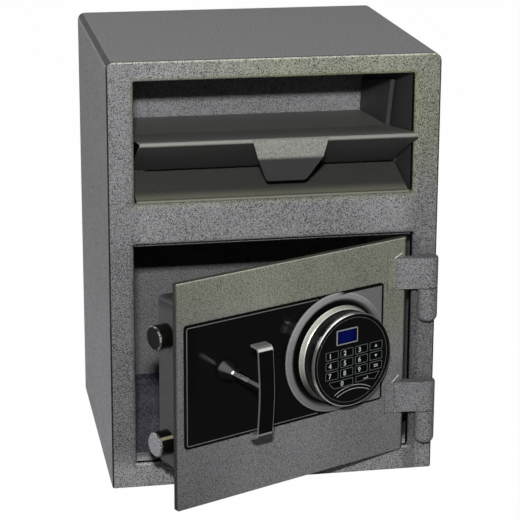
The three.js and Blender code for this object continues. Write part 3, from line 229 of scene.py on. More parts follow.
class Graph(Nodes):
    """The nodes of one material or world."""

    def __init__(self, owner: Material | bpy.types.World) -> None:
        """Empties the owner's node tree.

        Args:
            owner: the material or world.
        """
        owner.use_nodes = True
        super().__init__(owner.node_tree)
        self.owner = owner
        self.tree.nodes.clear()

    def place(self, centre: Vector | None = None, turn: float = 0.0) -> Value:
        """Object coordinates about a point.

        Args:
            centre: the point that becomes the origin, in metres.
            turn: turn about Z of the axes that the result is measured along, in radians.

        Returns:
            A vector in metres.
        """
        raw = self.add("ShaderNodeTexCoord", output="Object")
        spot = {"Vector": raw, "Location": centre or Vector(), "Rotation": (0.0, 0.0, turn)}
        return self.add("ShaderNodeMapping", {"vector_type": "TEXTURE"}, spot)

    def parts(self, vector: Value) -> Parts:
        """The three parts of a vector in metres, as millimetres."""
        split = self.add("ShaderNodeSeparateXYZ", sockets={"Vector": self.stretch(vector, (1 / MM,) * 3)})
        return tuple(Value(self, socket) for socket in split.socket.node.outputs)

    def stretch(self, vector: Value, scale: Point3) -> Value:
        """A vector scaled by a factor for each axis."""
        return self.add("ShaderNodeVectorMath", {"operation": "MULTIPLY"}, {0: vector, 1: scale})

    def noise(self, vector: Value, size: float, detail: float = 2.0, roughness: float = 0.5) -> Value:
        """Noise about 0.5.

        Args:
            vector: where to read it.
            size: the size of its features.
            detail: octaves.
            roughness: weight of the fine octaves.

        Returns:
            The noise, from 0 to 1.
        """
        spec = {"Vector": vector, "Scale": 1 / (size * MM), "Detail": detail, "Roughness": roughness}
        return self.add("ShaderNodeTexNoise", sockets=spec)

    def cells(self, vector: Value, size: float) -> Value:
        """Distance to the nearest of scattered points, in cells of that size."""
        spec = {"Vector": vector, "Scale": 1 / (size * MM), "Smoothness": 0.6}
        return self.add("ShaderNodeTexVoronoi", {"feature": "SMOOTH_F1"}, spec)

    def mix(self, kind: str, factor: Value, *colours: Value | Shade) -> Value:
        """Adds a Mix node for colours.

        Args:
            kind: its blend type.
            factor: its factor.
            colours: its two inputs, each a value, a colour or a grey.

        Returns:
            The mixed colour.
        """
        sockets: dict = {0: factor}
        for number, colour in enumerate(colours, 6):
            if isinstance(colour, Number):
                colour = (colour, colour, colour)
            sockets[number] = (*colour, 1.0) if isinstance(colour, tuple) else colour
        return self.add("ShaderNodeMix", {"data_type": "RGBA", "blend_type": kind}, sockets, output=2)

    def blend(self, factor: Value, low: Value | Shade, high: Value | Shade) -> Value:
        """Mixes two colours.

        Args:
            factor: 0 for low, 1 for high.
            low: a colour or a grey.
            high: a colour or a grey.

        Returns:
            The mixed colour.
        """
        return self.mix("MIX", factor, low, high)

    def tint(self, colour: Value | Shade, *changes: tuple[Value, Shade]) -> Value:
        """Multiplies a colour by other colours, one after the other.

        Args:
            colour: what is changed.
            changes: masks, each with the colour or grey that multiplies where it is 1.

        Returns:
            The changed colour.
        """
        for mask, by in changes:
            colour = self.mix("MULTIPLY", mask, colour, by)
        return colour

    def surface(self, colour: Value, rough: Value | Number, height: Value, depth: float, shine: float = 0.5,
                metal: Value | Number = 0.0, sheen: float = 0.0) -> Material:
        """Finishes the material with one Principled shader.

        Args:
            colour: the base colour.
            rough: the roughness.
            height: what the bump is read from.
            depth: of the bump, between the heights 0 and 1.
            shine: the specular level.
            metal: how metallic it is.
            sheen: the weight of its sheen.

        Returns:
            The material.
        """
        bump = self.add("ShaderNodeBump", sockets={"Height": height, "Distance": depth * MM, "Strength": 1.0})
        shader = self.add("ShaderNodeBsdfPrincipled", sockets={
            "Base Color": colour, "Roughness": rough, "Metallic": metal, "Specular IOR Level": shine,
            "Sheen Weight": sheen, "Normal": bump})
        self.add("ShaderNodeOutputMaterial", sockets={"Surface": shader})
        return self.owner


# Finishes


def scaled(colour: Colour, factor: float) -> Colour:
    """A colour times a number."""
    return tuple(part * factor for part in colour)


@dataclass(frozen=True)
class Finish:
    """A surface finish, made into one material that all its pieces share."""

    name: str
    centre: Vector = field(default_factory=Vector)
    turn: float = 0.0

    def material(self) -> Material:
        """The finish's material, built the first time. Its name differs from the frame's own materials."""
        label = f"finish_{self.name}"
        return bpy.data.materials.get(label) or self.wire(Graph(bpy.data.materials.new(label)))

    def wire(self, graph: Graph) -> Material:
        """Builds the nodes. Each kind of finish has its own."""
        raise NotImplementedError

    def dress(self, thing: bpy.types.Object) -> None:
        """Puts the material on an object, in place of what it has.

        Args:
            thing: the object.
        """
        if not thing.material_slots:
            thing.data.materials.append(self.material())
        for slot in thing.material_slots:
            slot.material = self.material()


@dataclass(frozen=True)
class Ramp:
    """A change along a slanting line on the front, complete at its end."""

    across: float
    up: float
    start: float
    end: float

    def over(self, x: Value, z: Value) -> Value:
        """How complete the change is at a place."""
        return (x * self.across + z * self.up).step(self.start, self.end)


@dataclass(frozen=True)
class HammerPaint(Finish):
    """Hammered enamel: small flattened drops with darker creases between them."""

    light: float = 0.285
    dark: float = 0.035
    drop: float = 1.25
    relief: float = 0.5
    olive: Ramp | None = None
    # A ramp of painted shade, and the factor where it is darkest.
    dull: Ramp | None = None
    dull_least: float = 0.7
    top: float = 0.0
    arris: float = 0.9
    patch_size: float = 60.0
    cool_cast: Colour = (0.98, 0.965, 1.05)
    olive_cast: Colour = (1.02, 1.05, 0.82)
    # The colour of the painted highlight on the top edge.
    arris_colour: Colour = (0.6, 0.61, 0.53)

    def wire(self, graph: Graph) -> Material:
        """Drops and creases, then the casts, the painted shade and the edges.

        Args:
            graph: the material's nodes.

        Returns:
            The material.
        """
        raw = graph.place()
        x, y, z = graph.parts(graph.place(self.centre, self.turn))
        drops = graph.cells(raw, self.drop)
        grain = graph.noise(raw, self.drop * 0.9, detail=3.0, roughness=0.65)
        patch = graph.noise(raw, self.patch_size)
        tone = (grain * 0.85 + (1 - drops) * 0.3 + patch * 0.1 - 0.07).step(0.36, 0.68)
        cool = graph.noise(raw, self.drop * 2, detail=1.0).step(0.48, 0.6)
        colour = graph.tint(graph.blend(tone, self.dark, self.light), (cool, self.cool_cast))
        if self.olive:
            colour = graph.tint(colour, (self.olive.over(x, z), self.olive_cast))
        # Painted shade: darker along a slanting ramp.
        if self.dull:
            colour = graph.tint(colour, (self.dull.over(x, z), self.dull_least))
        colour = self.edges(graph, (x, y, z), tone, colour)
        return graph.surface(colour, 0.5 - tone * 0.16, grain * 0.6 + drops, self.relief, shine=0.0)

    def edges(self, graph: Graph, place: Parts, tone: Value, colour: Value) -> Value:
        """Changes the colour at edges. The plain enamel leaves it.

        Args:
            graph: the material's nodes.
            place: the parts of the place, measured from the finish's centre.
            tone: 0 in the creases, 1 on the drops.
            colour: the enamel's colour.

        Returns:
            The changed colour.
        """
        return colour

    def bright_arris(self, graph: Graph, place: Parts, tone: Value, colour: Value) -> Value:
        """Paints a highlight along the front's top edge.

        Args:
            graph: the material's nodes.
            place: the parts of the place, measured from the finish's centre.
            tone: 0 in the creases, 1 on the drops.
            colour: the paint's colour.

        Returns:
            The changed colour.
        """
        _, y, z = place
        # Painted highlight on the top edge, strongest on the drops.
        edge = z.step(self.top - self.arris, self.top - 0.3) * y.step(1.4, 0.9)
        return graph.blend(edge * (0.1 + tone * 0.75), colour, self.arris_colour)


@dataclass(frozen=True)
class FramePaint(HammerPaint):
    """The front frame's enamel: olive lips round the hopper, with painted shade inside the openings and on
    the stiles.
    """

    half_width: float = 175.0
    hopper_middle: float = 376.8
    hopper_half: Point2 = (150.0, 67.0)
    door_top: float = 270.0
    rail_middle: float = 307.0
    foot: float = 27.0
    worn_lip: float = 24.8
    door_stile: float = 155.0
    lip_cast: Colour = (1.02, 1.05, 0.88)

    def edges(self, graph: Graph, place: Parts, tone: Value, colour: Value) -> Value:
        """Paints shade on the lips behind the face and on the stiles, glints of highlight on the door
        opening's lower lip, light on the foot, a shadow of the hinge barrels beside the door and shade along
        the outer edge.

        Args:
            graph: the material's nodes.
            place: the parts of the place, measured from the finish's centre.
            tone: 0 in the creases, 1 on the drops.
            colour: the paint's colour.

        Returns:
            The changed colour.
        """
        x, y, z = place
        half_across, half_up = self.hopper_half
        lips = z.near(self.hopper_middle, half_up, half_up + 3) * x.near(0, half_across, half_across + 3)
        # Painted shade on the lips inside the openings.
        reach = y - z.step(self.foot + 4, self.foot) * 2.8 + z.near(self.door_top, 3, 4) * 1.5
        inner_shade = reach.step(2.6, 4.4) * (1 - z.near(self.rail_middle, 6, 10))
        colour = graph.tint(colour, (lips, self.lip_cast), (inner_shade, 0.05))
        # Painted highlight: glints on the drops along the door opening's lower lip.
        painted_edge_highlight = z.near(self.worn_lip, 0.8, 1.2) * y.step(1.5, 2.5) * y.step(6.5, 5.5)
        colour = graph.blend(painted_edge_highlight * tone.step(0.3, 0.7), colour, 0.6)
        # Painted shade on the stiles, deeper low down; painted light from the floor on the foot; a painted
        # shadow of the hinge barrels beside the door; painted shade along the outer edge.
        stile_shade = abs(x).step(138, 150) * z.step(20, 50)
        jamb = x.step(self.door_stile + 4, self.door_stile) * x.step(140, 145) * z.step(266, 262)
        side = abs(x).step(self.half_width - 1.9, self.half_width - 1.1)
        colour = graph.tint(colour, (stile_shade, 0.84), (stile_shade * z.step(340, 180), 0.8), (z.step(28, 20), 1.12),
                            (jamb, 0.7), (side, 0.12))
        return self.bright_arris(graph, place, tone, colour)


@dataclass(frozen=True)
class DoorPaint(HammerPaint):
    """The door plate's enamel, with painted shade along its free edge and behind its face."""

    half_width: float = 146.5
    behind: float = 1.3

    def edges(self, graph: Graph, place: Parts, tone: Value, colour: Value) -> Value:
        """Paints shade on the free edge and the plate's thickness, and a highlight along the top edge.

        Args:
            graph: the material's nodes.
            place: the parts of the place, measured from the finish's centre.
            tone: 0 in the creases, 1 on the drops.
            colour: the paint's colour.

        Returns:
            The changed colour.
        """
        x, y, _ = place
        # Painted shade on the free edge and, below, on the plate's thickness behind its face.
        free = (-x).step(self.half_width - 0.9, self.half_width - 0.3)
        colour = self.bright_arris(graph, place, tone, graph.tint(colour, (free, 0.62)))
        return graph.tint(colour, (y.step(self.behind, self.behind + 0.8), 0.4))


@dataclass(frozen=True)
class SmoothPaint(Finish):
    """Plain enamel with a faint orange-peel surface."""

    colour: Colour = (0.045, 0.046, 0.046)
    spread: float = 0.25
    roughness: float = 0.5
    peel: float = 1.6
    shine: float = 0.15
    patch_size: float = 35.0

    def wire(self, graph: Graph) -> Material:
        """Soft patches and fine grain in the colour, fine peel in the surface.

        Args:
            graph: the material's nodes.

        Returns:
            The material.
        """
        at = graph.place()
        patch = graph.noise(at, self.patch_size, detail=3.0)
        fine = graph.noise(at, self.peel)
        tone = patch * 0.3 + fine.step(0.3, 0.7) * 0.7
        plain = graph.blend(tone, scaled(self.colour, 1 - self.spread), scaled(self.colour, 1 + self.spread))
        rough = self.roughness + (patch - 0.5) * 0.15
        return graph.surface(self.shade(graph, at, plain), rough, fine, 0.04, self.shine)

    def shade(self, graph: Graph, at: Value, colour: Value) -> Value:
        """Changes the colour from place to place. The plain paint leaves it."""
        return colour


@dataclass(frozen=True)
class ShellPaint(SmoothPaint):
    """The cabinet's outer sheet: painted shade along its bends, a painted shadow in its front seam and a
    painted reflection of the floor low down.
    """

    crest: float = 457.0
    seam: float = -151.7
    bend_normal: Point2 = (0.669, 0.743)
    scuff: Colour = (1.26, 1.24, 1.31)

    def shade(self, graph: Graph, at: Value, colour: Value) -> Value:
        """Paints shade on the bends, a shadow in the seam and a reflection of the floor on the foot of the
        sides.

        Args:
            graph: the material's nodes.
            at: the place, in metres.
            colour: the paint's colour.

        Returns:
            The changed colour.
        """
        x, y, z = graph.parts(at)
        across, up = self.bend_normal
        # Painted shade along the top bends and a painted shadow in the front seam.
        bend = (abs(x) * across + z * up).step(self.crest - 0.9, self.crest - 0.4)
        line = y.step(self.seam + 3.2, self.seam + 2.0) * z.step(452, 456)
        # A painted reflection of the floor lightens the sides low down.
        return graph.tint(colour, (z.step(300, 50), self.scuff), (bend, 0.08), (line, 0.3))


@dataclass(frozen=True)
class PanPaint(SmoothPaint):
    """The bolt box: painted shade over its upper bend."""

    top: float = 244.5

    def shade(self, graph: Graph, at: Value, colour: Value) -> Value:
        """Paints shade on the uppermost strip."""
        return graph.tint(colour, (graph.parts(at)[2].step(self.top - 14, self.top - 6), 0.5))


@dataclass(frozen=True)
class SillPaint(SmoothPaint):
    """The chute's sill: lighter towards the opening, with an olive cast."""

    front: float = -149.0
    overspray: Colour = (0.2, 0.2, 0.155)

    def shade(self, graph: Graph, at: Value, colour: Value) -> Value:
        """Lightens the front strip, with an olive cast."""
        over = graph.parts(at)[1].step(self.front + 24, self.front + 3)
        return graph.blend(over * 0.8, colour, self.overspray)


@dataclass(frozen=True)
class BrushedMetal(Finish):
    """Metal with fine lines along X."""

    colour: Colour = (0.42, 0.42, 0.41)
    roughness: float = 0.3
    lines: Point3 = (0.05, 1.0, 1.0)

    def wire(self, graph: Graph) -> Material:
        """Stretched noise makes the lines in colour, gloss and surface.

        Args:
            graph: the material's nodes.

        Returns:
            The material.
        """
        at = graph.place()
        brush = graph.noise(graph.stretch(at, self.lines), 0.5, detail=3.0, roughness=0.6)
        soil = graph.noise(at, 12, detail=3.0)
        colour = graph.blend(brush * 0.6 + soil * 0.4, scaled(self.colour, 0.72), scaled(self.colour, 1.2))
        rough = self.roughness + (brush - 0.5) * 0.2 + (soil - 0.5) * 0.1
        return graph.surface(colour, rough, brush, 0.01, metal=0.95)


@dataclass(frozen=True)
class BoltSteel(Finish):
    """The bolts, measured from their tips: near-black sides as a painted dark reflection, a painted highlight
    streak, a painted highlight on the chamfer and a painted reflection on the end.
    """

    split: float = 150.0
    streak: float = 101.8
    chamfer: Point2 = (0.4, 2.1)
    oiled: Colour = (0.008, 0.008, 0.0075)
    oiled_high: Colour = (0.02, 0.02, 0.017)
    bare: Colour = (0.42, 0.42, 0.41)
    scrape: Colour = (0.42, 0.4, 0.26)
    rubbed: Colour = (0.12, 0.117, 0.128)
    rubbed_high: Colour = (0.34, 0.332, 0.362)

    def wire(self, graph: Graph) -> Material:
        """The distance from the tip decides between end, chamfer and side. The upper bolt's end is black, a
        painted dark reflection.

        Args:
            graph: the material's nodes.

        Returns:
            The material.
        """
        at = graph.place(self.centre, self.turn)
        x, _, z = graph.parts(at)
        mottle = graph.noise(at, 2.4, detail=4.0, roughness=0.7)
        start, end = self.chamfer
        past_end = x.step(start - 0.15, start)
        upper = z.step(self.split - 1, self.split + 1)
        streak = z.near(self.streak, 0.8, 1.6)
        # Painted reflections on the ends, light on the lower bolt and black on the upper; a painted highlight
        # on the chamfer.
        tip = graph.blend(upper, graph.blend(mottle.step(0.3, 0.7), self.rubbed, self.rubbed_high), 0.004)
        rim = graph.blend(mottle.step(0.42, 0.6), (0.02, 0.02, 0.019), self.bare)
        # Painted dark reflection on the sides, with a painted highlight streak along the lower bolt.
        side = graph.blend(streak * 0.8, graph.blend(mottle, self.oiled, self.oiled_high), self.scrape)
        colour = graph.blend(x.step(end, end + 0.6), graph.blend(past_end, tip, rim), side)
        rough = 0.25 + (1 - past_end) * 0.2 + mottle * 0.08
        metal = 0.35 + past_end * 0.45 * (1 - streak)
        return graph.surface(colour, rough, mottle, 0.01, 0.08, metal)


@dataclass(frozen=True)
class Polished(Finish):
    """Polished plating with faint haze."""

    colour: Colour = (0.74, 0.74, 0.73)
    roughness: float = 0.12

    def wire(self, graph: Graph) -> Material:
        """Haze varies the gloss slightly.

        Args:
            graph: the material's nodes.

        Returns:
            The material.
        """
        at = graph.place()
        haze = graph.noise(at, 9, detail=4.0)
        colour = graph.blend(haze, scaled(self.colour, 0.85), self.colour)
        return graph.surface(colour, self.roughness + haze * 0.08, graph.noise(at, 4), 0.004, metal=1.0)


@dataclass(frozen=True)
class Gloss(Finish):
    """Glossy moulded or lacquered surface with faint dust."""

    colour: Colour = (0.0035, 0.0035, 0.0036)
    roughness: float = 0.14
    shine: float = 0.05
    dust_added: float = 0.003

    def wire(self, graph: Graph) -> Material:
        """Dust lightens the colour a little and dulls the gloss.

        Args:
            graph: the material's nodes.

        Returns:
            The material.
        """
        at = graph.place()
        dust = graph.noise(at, 1.1, detail=4.0, roughness=0.7).step(0.62, 0.8)
        smear = graph.noise(at, 18, detail=3.0)
        dusty = tuple(part + self.dust_added for part in self.colour)
        colour = graph.blend(dust * 0.6 + smear * 0.1, self.colour, dusty)
        return graph.surface(colour, self.roughness + smear * 0.1 + dust * 0.1, smear, 0.01, self.shine)


@dataclass(frozen=True)
class Carpet(Finish):
    """Short dark pile, bluish, with lighter tips."""

    colour: Colour = (0.006, 0.005, 0.011)
    tip: Colour = (0.092, 0.08, 0.136)

    def wire(self, graph: Graph) -> Material:
        """Speckled from tuft to tuft.

        Args:
            graph: the material's nodes.

        Returns:
            The material.
        """
        at = graph.place()
        tuft = graph.noise(at, 2.0, detail=3.0, roughness=0.7)
        tone = (tuft * 0.85 + graph.noise(at, 45) * 0.2).step(0.44, 0.72)
        return graph.surface(graph.blend(tone, self.colour, self.tip), 0.95, tuft, 0.8, sheen=0.15)


@dataclass(frozen=True)
class SatinSilver(Finish):
    """Satin silver lacquer on the lock's rings: circular lines about the lock's axis, with painted light and
    shade by radius and angle.
    """

    colour: Colour = (0.06, 0.06, 0.06)
    rings: tuple[tuple[float, float, Shade], ...] = ()
    black_below: float = -1.0
    plate: Point3 | None = None
    shaded: bool = False
    roughness: float = 0.32
    black: float = 0.003

    def wire(self, graph: Graph) -> Material:
        """Lines and tones that depend on the distance from the axis, and a black foot or margin; the tones
        paint light and shade, the foot paints shade in the groove.

        Args:
            graph: the material's nodes.

        Returns:
            The material.
        """
        at = graph.place(self.centre, self.turn)
        x, y, z = graph.parts(at)
        radius = x.radius(z)
        ring = graph.add("ShaderNodeCombineXYZ", sockets={"X": radius * MM})
        lines = graph.noise(ring, 0.45, detail=3.0, roughness=0.7)
        mottle = graph.noise(at, 1.6)
        colour = self.colour
        # Tones by radius: painted light and shade on the ring's slopes.
        for start, full, tone in self.rings:
            colour = graph.blend(radius.step(start, full), colour, tone)
        # Painted shade away from the upper left.
        if self.shaded:
            colour = graph.tint(colour, (((z * 0.8 - x * 0.6) / radius).step(0.8, 0.0), 0.16))
        silver = graph.tint(colour, (1 - (lines * 0.5 + mottle * 0.5).step(0.3, 0.7), 0.72))
        # Painted shade: black below a height, in the groove.
        clear = (-y).step(self.black_below - 0.5, self.black_below + 0.3)
        if self.plate:
            right, half, rise = self.plate
            rows = abs(z - rise).step(half - 1.5, half - 1.1) * x.step(0, 12)
            clear = clear * (1 - x.step(right - 1.5, right - 1.1).larger(rows))
        rough = self.roughness + (mottle - 0.5) * 0.15
        return graph.surface(graph.blend(clear, self.black, silver), rough, lines, 0.012, 0.05, clear * 0.5)


@dataclass(frozen=True)
class BlackPlating(Finish):
    """Glossy black plating with a painted highlight in some places. Each kind says where."""

    black: float = 0.002
    haze_added: float = 0.003
    plated: Colour = (0.95, 0.95, 0.93)
    roughness: float = 0.1
    shine: float = 0.05
    haze_size: float = 7.0

    def wire(self, graph: Graph) -> Material:
        """Blends black and the painted highlight, with a faint haze in both.

        Args:
            graph: the material's nodes.

        Returns:
            The material.
        """
        at = graph.place(self.centre, self.turn)
        bright = self.bright(*graph.parts(at))
        haze = graph.noise(at, self.haze_size, detail=3.0)
        black = graph.blend(haze, self.black, self.black + self.haze_added)
        colour = graph.blend(bright, black, self.plated)
        return graph.surface(colour, self.roughness + haze * 0.08, haze, 0.004, self.shine, bright)

    def bright(self, x: Value, y: Value, z: Value) -> Value:
        """Where the highlight is painted, measured from the finish's centre."""
        raise NotImplementedError


@dataclass(frozen=True)
class RimPlating(BlackPlating):
    """The lock's bezel: black with a painted highlight on its outer rim."""

    rim: float = 49.1

    def bright(self, x: Value, y: Value, z: Value) -> Value:
        """A painted highlight outside the rim's radius, most at the upper left and below.

        Args:
            x: across, measured from the finish's centre.
            y: to the rear.
            z: up.

        Returns:
            How strong the painted highlight is, from 0 to 1.
        """
        radius = x.radius(z)
        upper = ((z * 0.85 - x * 0.53) / radius).step(0.8, 0.97)
        lower = ((-z - x * 0.05) / radius).step(0.25, 0.6)
        return radius.step(self.rim - 0.15, self.rim + 0.15) * (0.12 + upper.larger(lower) * 0.88)


@dataclass(frozen=True)
class StemPlating(BlackPlating):
    """The handle's stem: one painted highlight along its upper left, strongest on the thin part."""

    thin: float = 5.0
    thin_end: float = 41.0

    def bright(self, x: Value, y: Value, z: Value) -> Value:
        """The angle about the stem's axis decides where the highlight is painted.

        Args:
            x: across, measured from the finish's centre.
            y: to the rear.
            z: up.

        Returns:
            How strong the painted highlight is, from 0 to 1.
        """
        radius = x.radius(z)
        thin = radius.step(self.thin + 1, self.thin) * (-y).step(self.thin_end + 2, self.thin_end)
        return ((z * 0.66 - x * 0.75) / radius).step(0.86, 0.99) * (0.12 + thin * 0.88)


@dataclass(frozen=True)
class GripPlating(BlackPlating):
    """The grip: black on its face, with painted highlights along the edges and on the turned ends."""

    half_width: float = 8.7
    half_length: float = 47.0

    def bright(self, x: Value, y: Value, z: Value) -> Value:
        """The distance to the strap's edges decides how strong the painted highlight is.

        Args:
            x: across, measured from the finish's centre.
            y: to the rear.
            z: up.

        Returns:
            How strong the painted highlight is, from 0 to 1.
        """
        side = abs(x).step(self.half_width - 0.5, self.half_width - 0.1) * (0.18 + x.step(0, 1) * 0.82)
        bend = abs(z).step(self.half_length - 4.7, self.half_length - 4.0)
        tip = abs(z).step(self.half_length - 2.6, self.half_length - 1.4)
        return side.larger(bend - tip * 0.75)


@dataclass(frozen=True)
class Ink(Finish):
    """Screen-printed ink, slightly uneven."""

    colour: Colour = (0.55, 0.56, 0.56)

    def wire(self, graph: Graph) -> Material:
        """Density varies a little over the print.

        Args:
            graph: the material's nodes.

        Returns:
            The material.
        """
        density = graph.noise(graph.place(), 0.8, detail=3.0)
        colour = graph.blend(density, scaled(self.colour, 0.8), self.colour)
        return graph.surface(colour, 0.4 + density * 0.1, density, 0.01)


@dataclass(frozen=True)
class DisplayGlass(Finish):
    """Blue display window, lighter towards its middle, in a grey frame."""

    edge: Colour = (0.001, 0.0015, 0.01)
    glow: Colour = (0.002, 0.004, 0.075)
    frame: Colour = (0.26, 0.26, 0.28)
    glow_half: Point2 = (13.0, 8.5)
    window_half: Point2 = (12.4, 6.8)

    def wire(self, graph: Graph) -> Material:
        """Blends from the edge to the middle, with a faint line grid.

        Args:
            graph: the material's nodes.

        Returns:
            The material.
        """
        at = graph.place(self.centre, self.turn)
        x, _, z = graph.parts(at)
        reach = (abs(x) / self.glow_half[0]).larger(abs(z) / self.glow_half[1])
        scan = graph.noise(graph.stretch(at, (0.05, 0.05, 1.0)), 0.35, detail=1.0)
        glass = graph.blend(reach.step(1.05, 0.45) * (0.85 + scan * 0.25), self.edge, self.glow)
        across, up = (abs(part).step(half, half + 0.3) for part, half in zip((x, z), self.window_half))
        frame = across.larger(up)
        rough = 0.12 + scan * 0.05 + frame * 0.2
        return graph.surface(graph.blend(frame, glass, self.frame), rough, scan, 0.002, 0.02)


@dataclass(frozen=True)
class TabPaint(Finish):
    """The pull tab: hammered above its bend, smooth and dark below it, the dark being painted shade."""

    bend: float = 363.1
    creases: Colour = (0.11, 0.113, 0.1)
    drops: Colour = (0.29, 0.3, 0.27)
    smooth: Point2 = (0.038, 0.06)

    def wire(self, graph: Graph) -> Material:
        """The height decides between the two paints.

        Args:
            graph: the material's nodes.

        Returns:
            The material.
        """
        at = graph.place()
        above = graph.parts(at)[2].step(self.bend - 3.0, self.bend + 3.0)
        grain = graph.noise(at, 1.2, detail=3.0, roughness=0.65)
        fine = graph.noise(at, 1.6)
        upper = graph.blend(grain.step(0.25, 0.8), self.creases, self.drops)
        # Below the bend: smooth paint, darkened as painted shade.
        colour = graph.blend(above, graph.blend(fine, *self.smooth), upper)
        return graph.surface(colour, 0.5 + grain * 0.1, grain * above + fine * 0.2, 0.12, 0.2)


@dataclass(frozen=True)
class TrayPaint(Finish):
    """The deposit tray, measured from its hem: painted shade below, lighter on the floor and a painted
    highlight along the hem.
    """

    reach: float = 3.4
    slope: float = 0.28
    # The colours below the hem's line are painted shade; the hem's colours are a painted highlight.
    below: Point2 = (0.05, 0.075)
    floor: tuple[Colour, Colour] = ((0.14, 0.138, 0.132), (0.2, 0.197, 0.19))
    hem: tuple[Colour, Colour] = ((0.16, 0.16, 0.145), (0.27, 0.27, 0.245))

    def wire(self, graph: Graph) -> Material:
        """The distance from the hem's line decides where the painted highlight and the painted shade go.

        Args:
            graph: the material's nodes.

        Returns:
            The material.
        """
        at = graph.place()
        _, y, z = graph.parts(graph.place(self.centre))
        patch = graph.noise(at, 40, detail=3.0)
        fine = graph.noise(at, 1.5)
        tone = patch * 0.5 + fine * 0.5
        # Painted highlight along the hem; painted shade below the hem's line.
        painted_edge_highlight = y.radius(z).step(self.reach * 1.08, self.reach * 0.86)
        over = (z + y * self.slope).step(-1.5, 1.5)
        sheet = graph.blend(over, graph.blend(tone, *self.below), graph.blend(tone, *self.floor))
        colour = graph.blend(painted_edge_highlight, sheet, graph.blend(fine, *self.hem))
        return graph.surface(colour, 0.5 + (patch - 0.5) * 0.1, fine, 0.04, 0.15)


# Meshes

SOFT_LINE = 0.35
SOFT_SLAB = 0.4
SHARPEST_CORNER = 0.2
DIGIT_SIZE = 7.2
DIGIT_WEIGHT = 0.018
DIGIT_MERGE = 0.002
MARK_WIDTH = 0.8


def circle(radius: float, count: int, start: float = 0.0, sweep: float = 360.0) -> list[Point2]:
    """Points on a circle or an arc.

    Args:
        radius: of the circle.
        count: how many points.
        start: the first angle in degrees.
        sweep: degrees covered; a full turn leaves out the last point.

    Returns:
        The points, counterclockwise.
    """
    steps = count if sweep >= 360 else count - 1
    angles = [math.radians(start + sweep * i / steps) for i in range(count)]
    return [(radius * math.cos(a), radius * math.sin(a)) for a in angles]


def rounded(width: float, height: float, radius: float, steps: int = 4) -> list[Point2]:
    """A rectangle with rounded corners about the origin.

    Args:
        width: along X.
        height: along Y.
        radius: of the corners.
        steps: points in each corner, less one.

    Returns:
        The outline, counterclockwise.
    """
    points: list[Point2] = []
    for quarter, (sx, sy) in enumerate([(1, 1), (-1, 1), (-1, -1), (1, -1)]):
        for a, b in circle(radius, steps + 1, quarter * 90, 90):
            points.append((sx * (width / 2 - radius) + a, sy * (height / 2 - radius) + b))
    return points


def inset(outline: list[Point2], distance: float) -> list[Point2]:
    """Moves every side of a closed counterclockwise outline inwards.

    Args:
        outline: the points.
        distance: how far; a negative one grows the outline.

    Returns:
        As many points, in the same order.
    """
    moved = []
    count = len(outline)
    for i, here in enumerate(outline):
        back = (Vector(here) - Vector(outline[i - 1])).normalized()
        ahead = (Vector(outline[(i + 1) % count]) - Vector(here)).normalized()
        normal = Vector((-back.y - ahead.y, back.x + ahead.x)).normalized()
        reach = distance / max(normal.dot(Vector((-back.y, back.x))), SHARPEST_CORNER)
        moved.append(tuple(Vector(here) + normal * reach))
    return moved


def skin(name: str, loops: list[list[Point3]], closed: bool = True, joined: bool = True) -> Mesh:
    """Skins loops of equal point counts.

    Args:
        name: the mesh's name.
        loops: the points of each loop.
        closed: whether each loop is closed; open ones get caps at their ends.
        joined: whether the last loop joins the first; otherwise these two are filled.

    Returns:
        A closed mesh in millimetres with its faces outwards.
    """
    work = bmesh.new()
    rings = [[work.verts.new(point) for point in loop] for loop in loops]
    count = len(loops[0])
    for ring, after in zip(rings, rings[1:] + (rings[:1] if joined else [])):
        for i in range(count if closed else count - 1):
            j = (i + 1) % count
            work.faces.new((ring[i], ring[j], after[j], after[i]))
    ends = [] if joined else [rings[0], rings[-1]]
    if not closed:
        ends = [[ring[end] for ring in rings] for end in (0, -1)]
    for end in ends:
        work.faces.new(end)
    return settled(bpy.data.meshes.new(name), work)


def settled(mesh: Mesh, work: bmesh.types.BMesh) -> Mesh:
    """Turns a working mesh's faces outwards and writes it into a mesh.

    Args:
        mesh: what the result is written into.
        work: the working mesh, which is freed.

    Returns:
        The mesh.
    """
    bmesh.ops.recalc_face_normals(work, faces=work.faces)
    work.to_mesh(mesh)
    work.free()
    return mesh


def worked_out(helper: bpy.types.Object) -> Mesh:
    """The plain mesh of a helper object with a curve or a modifier. The helper is removed.

    Args:
        helper: the object, which is removed.

    Returns:
        The plain mesh.
    """
    bpy.context.view_layer.update()
    mesh = bpy.data.meshes.new_from_object(helper.evaluated_get(bpy.context.evaluated_depsgraph_get()))
    helper.modifiers.clear()
    bpy.data.objects.remove(helper)
    return mesh


def linked(name: str, data: bpy.types.ID) -> bpy.types.Object:
    """A new object in the scene.

    Args:
        name: the object's name.
        data: its mesh, curve, lamp or camera.

    Returns:
        The object.
    """
    thing = bpy.data.objects.new(name, data)
    bpy.context.scene.collection.objects.link(thing)
    return thing


def border(name: str, outline: list[Point2], width: float, height: float) -> Mesh:
    """A thin raised line along a closed outline, with a softened top.

    Args:
        name: the mesh's name.
        outline: its outer edge, counterclockwise.
        width: of the line.
        height: above the surface at z = 0.

    Returns:
        The mesh in millimetres.
    """
    soft = min(width, height) * SOFT_LINE
    shoulder = height - soft
    profile = [(0, 0), (0, shoulder), (soft, height), (width - soft, height), (width, shoulder), (width, 0)]
    return skin(name, [[(x, y, z) for x, y in inset(outline, d)] for d, z in profile])


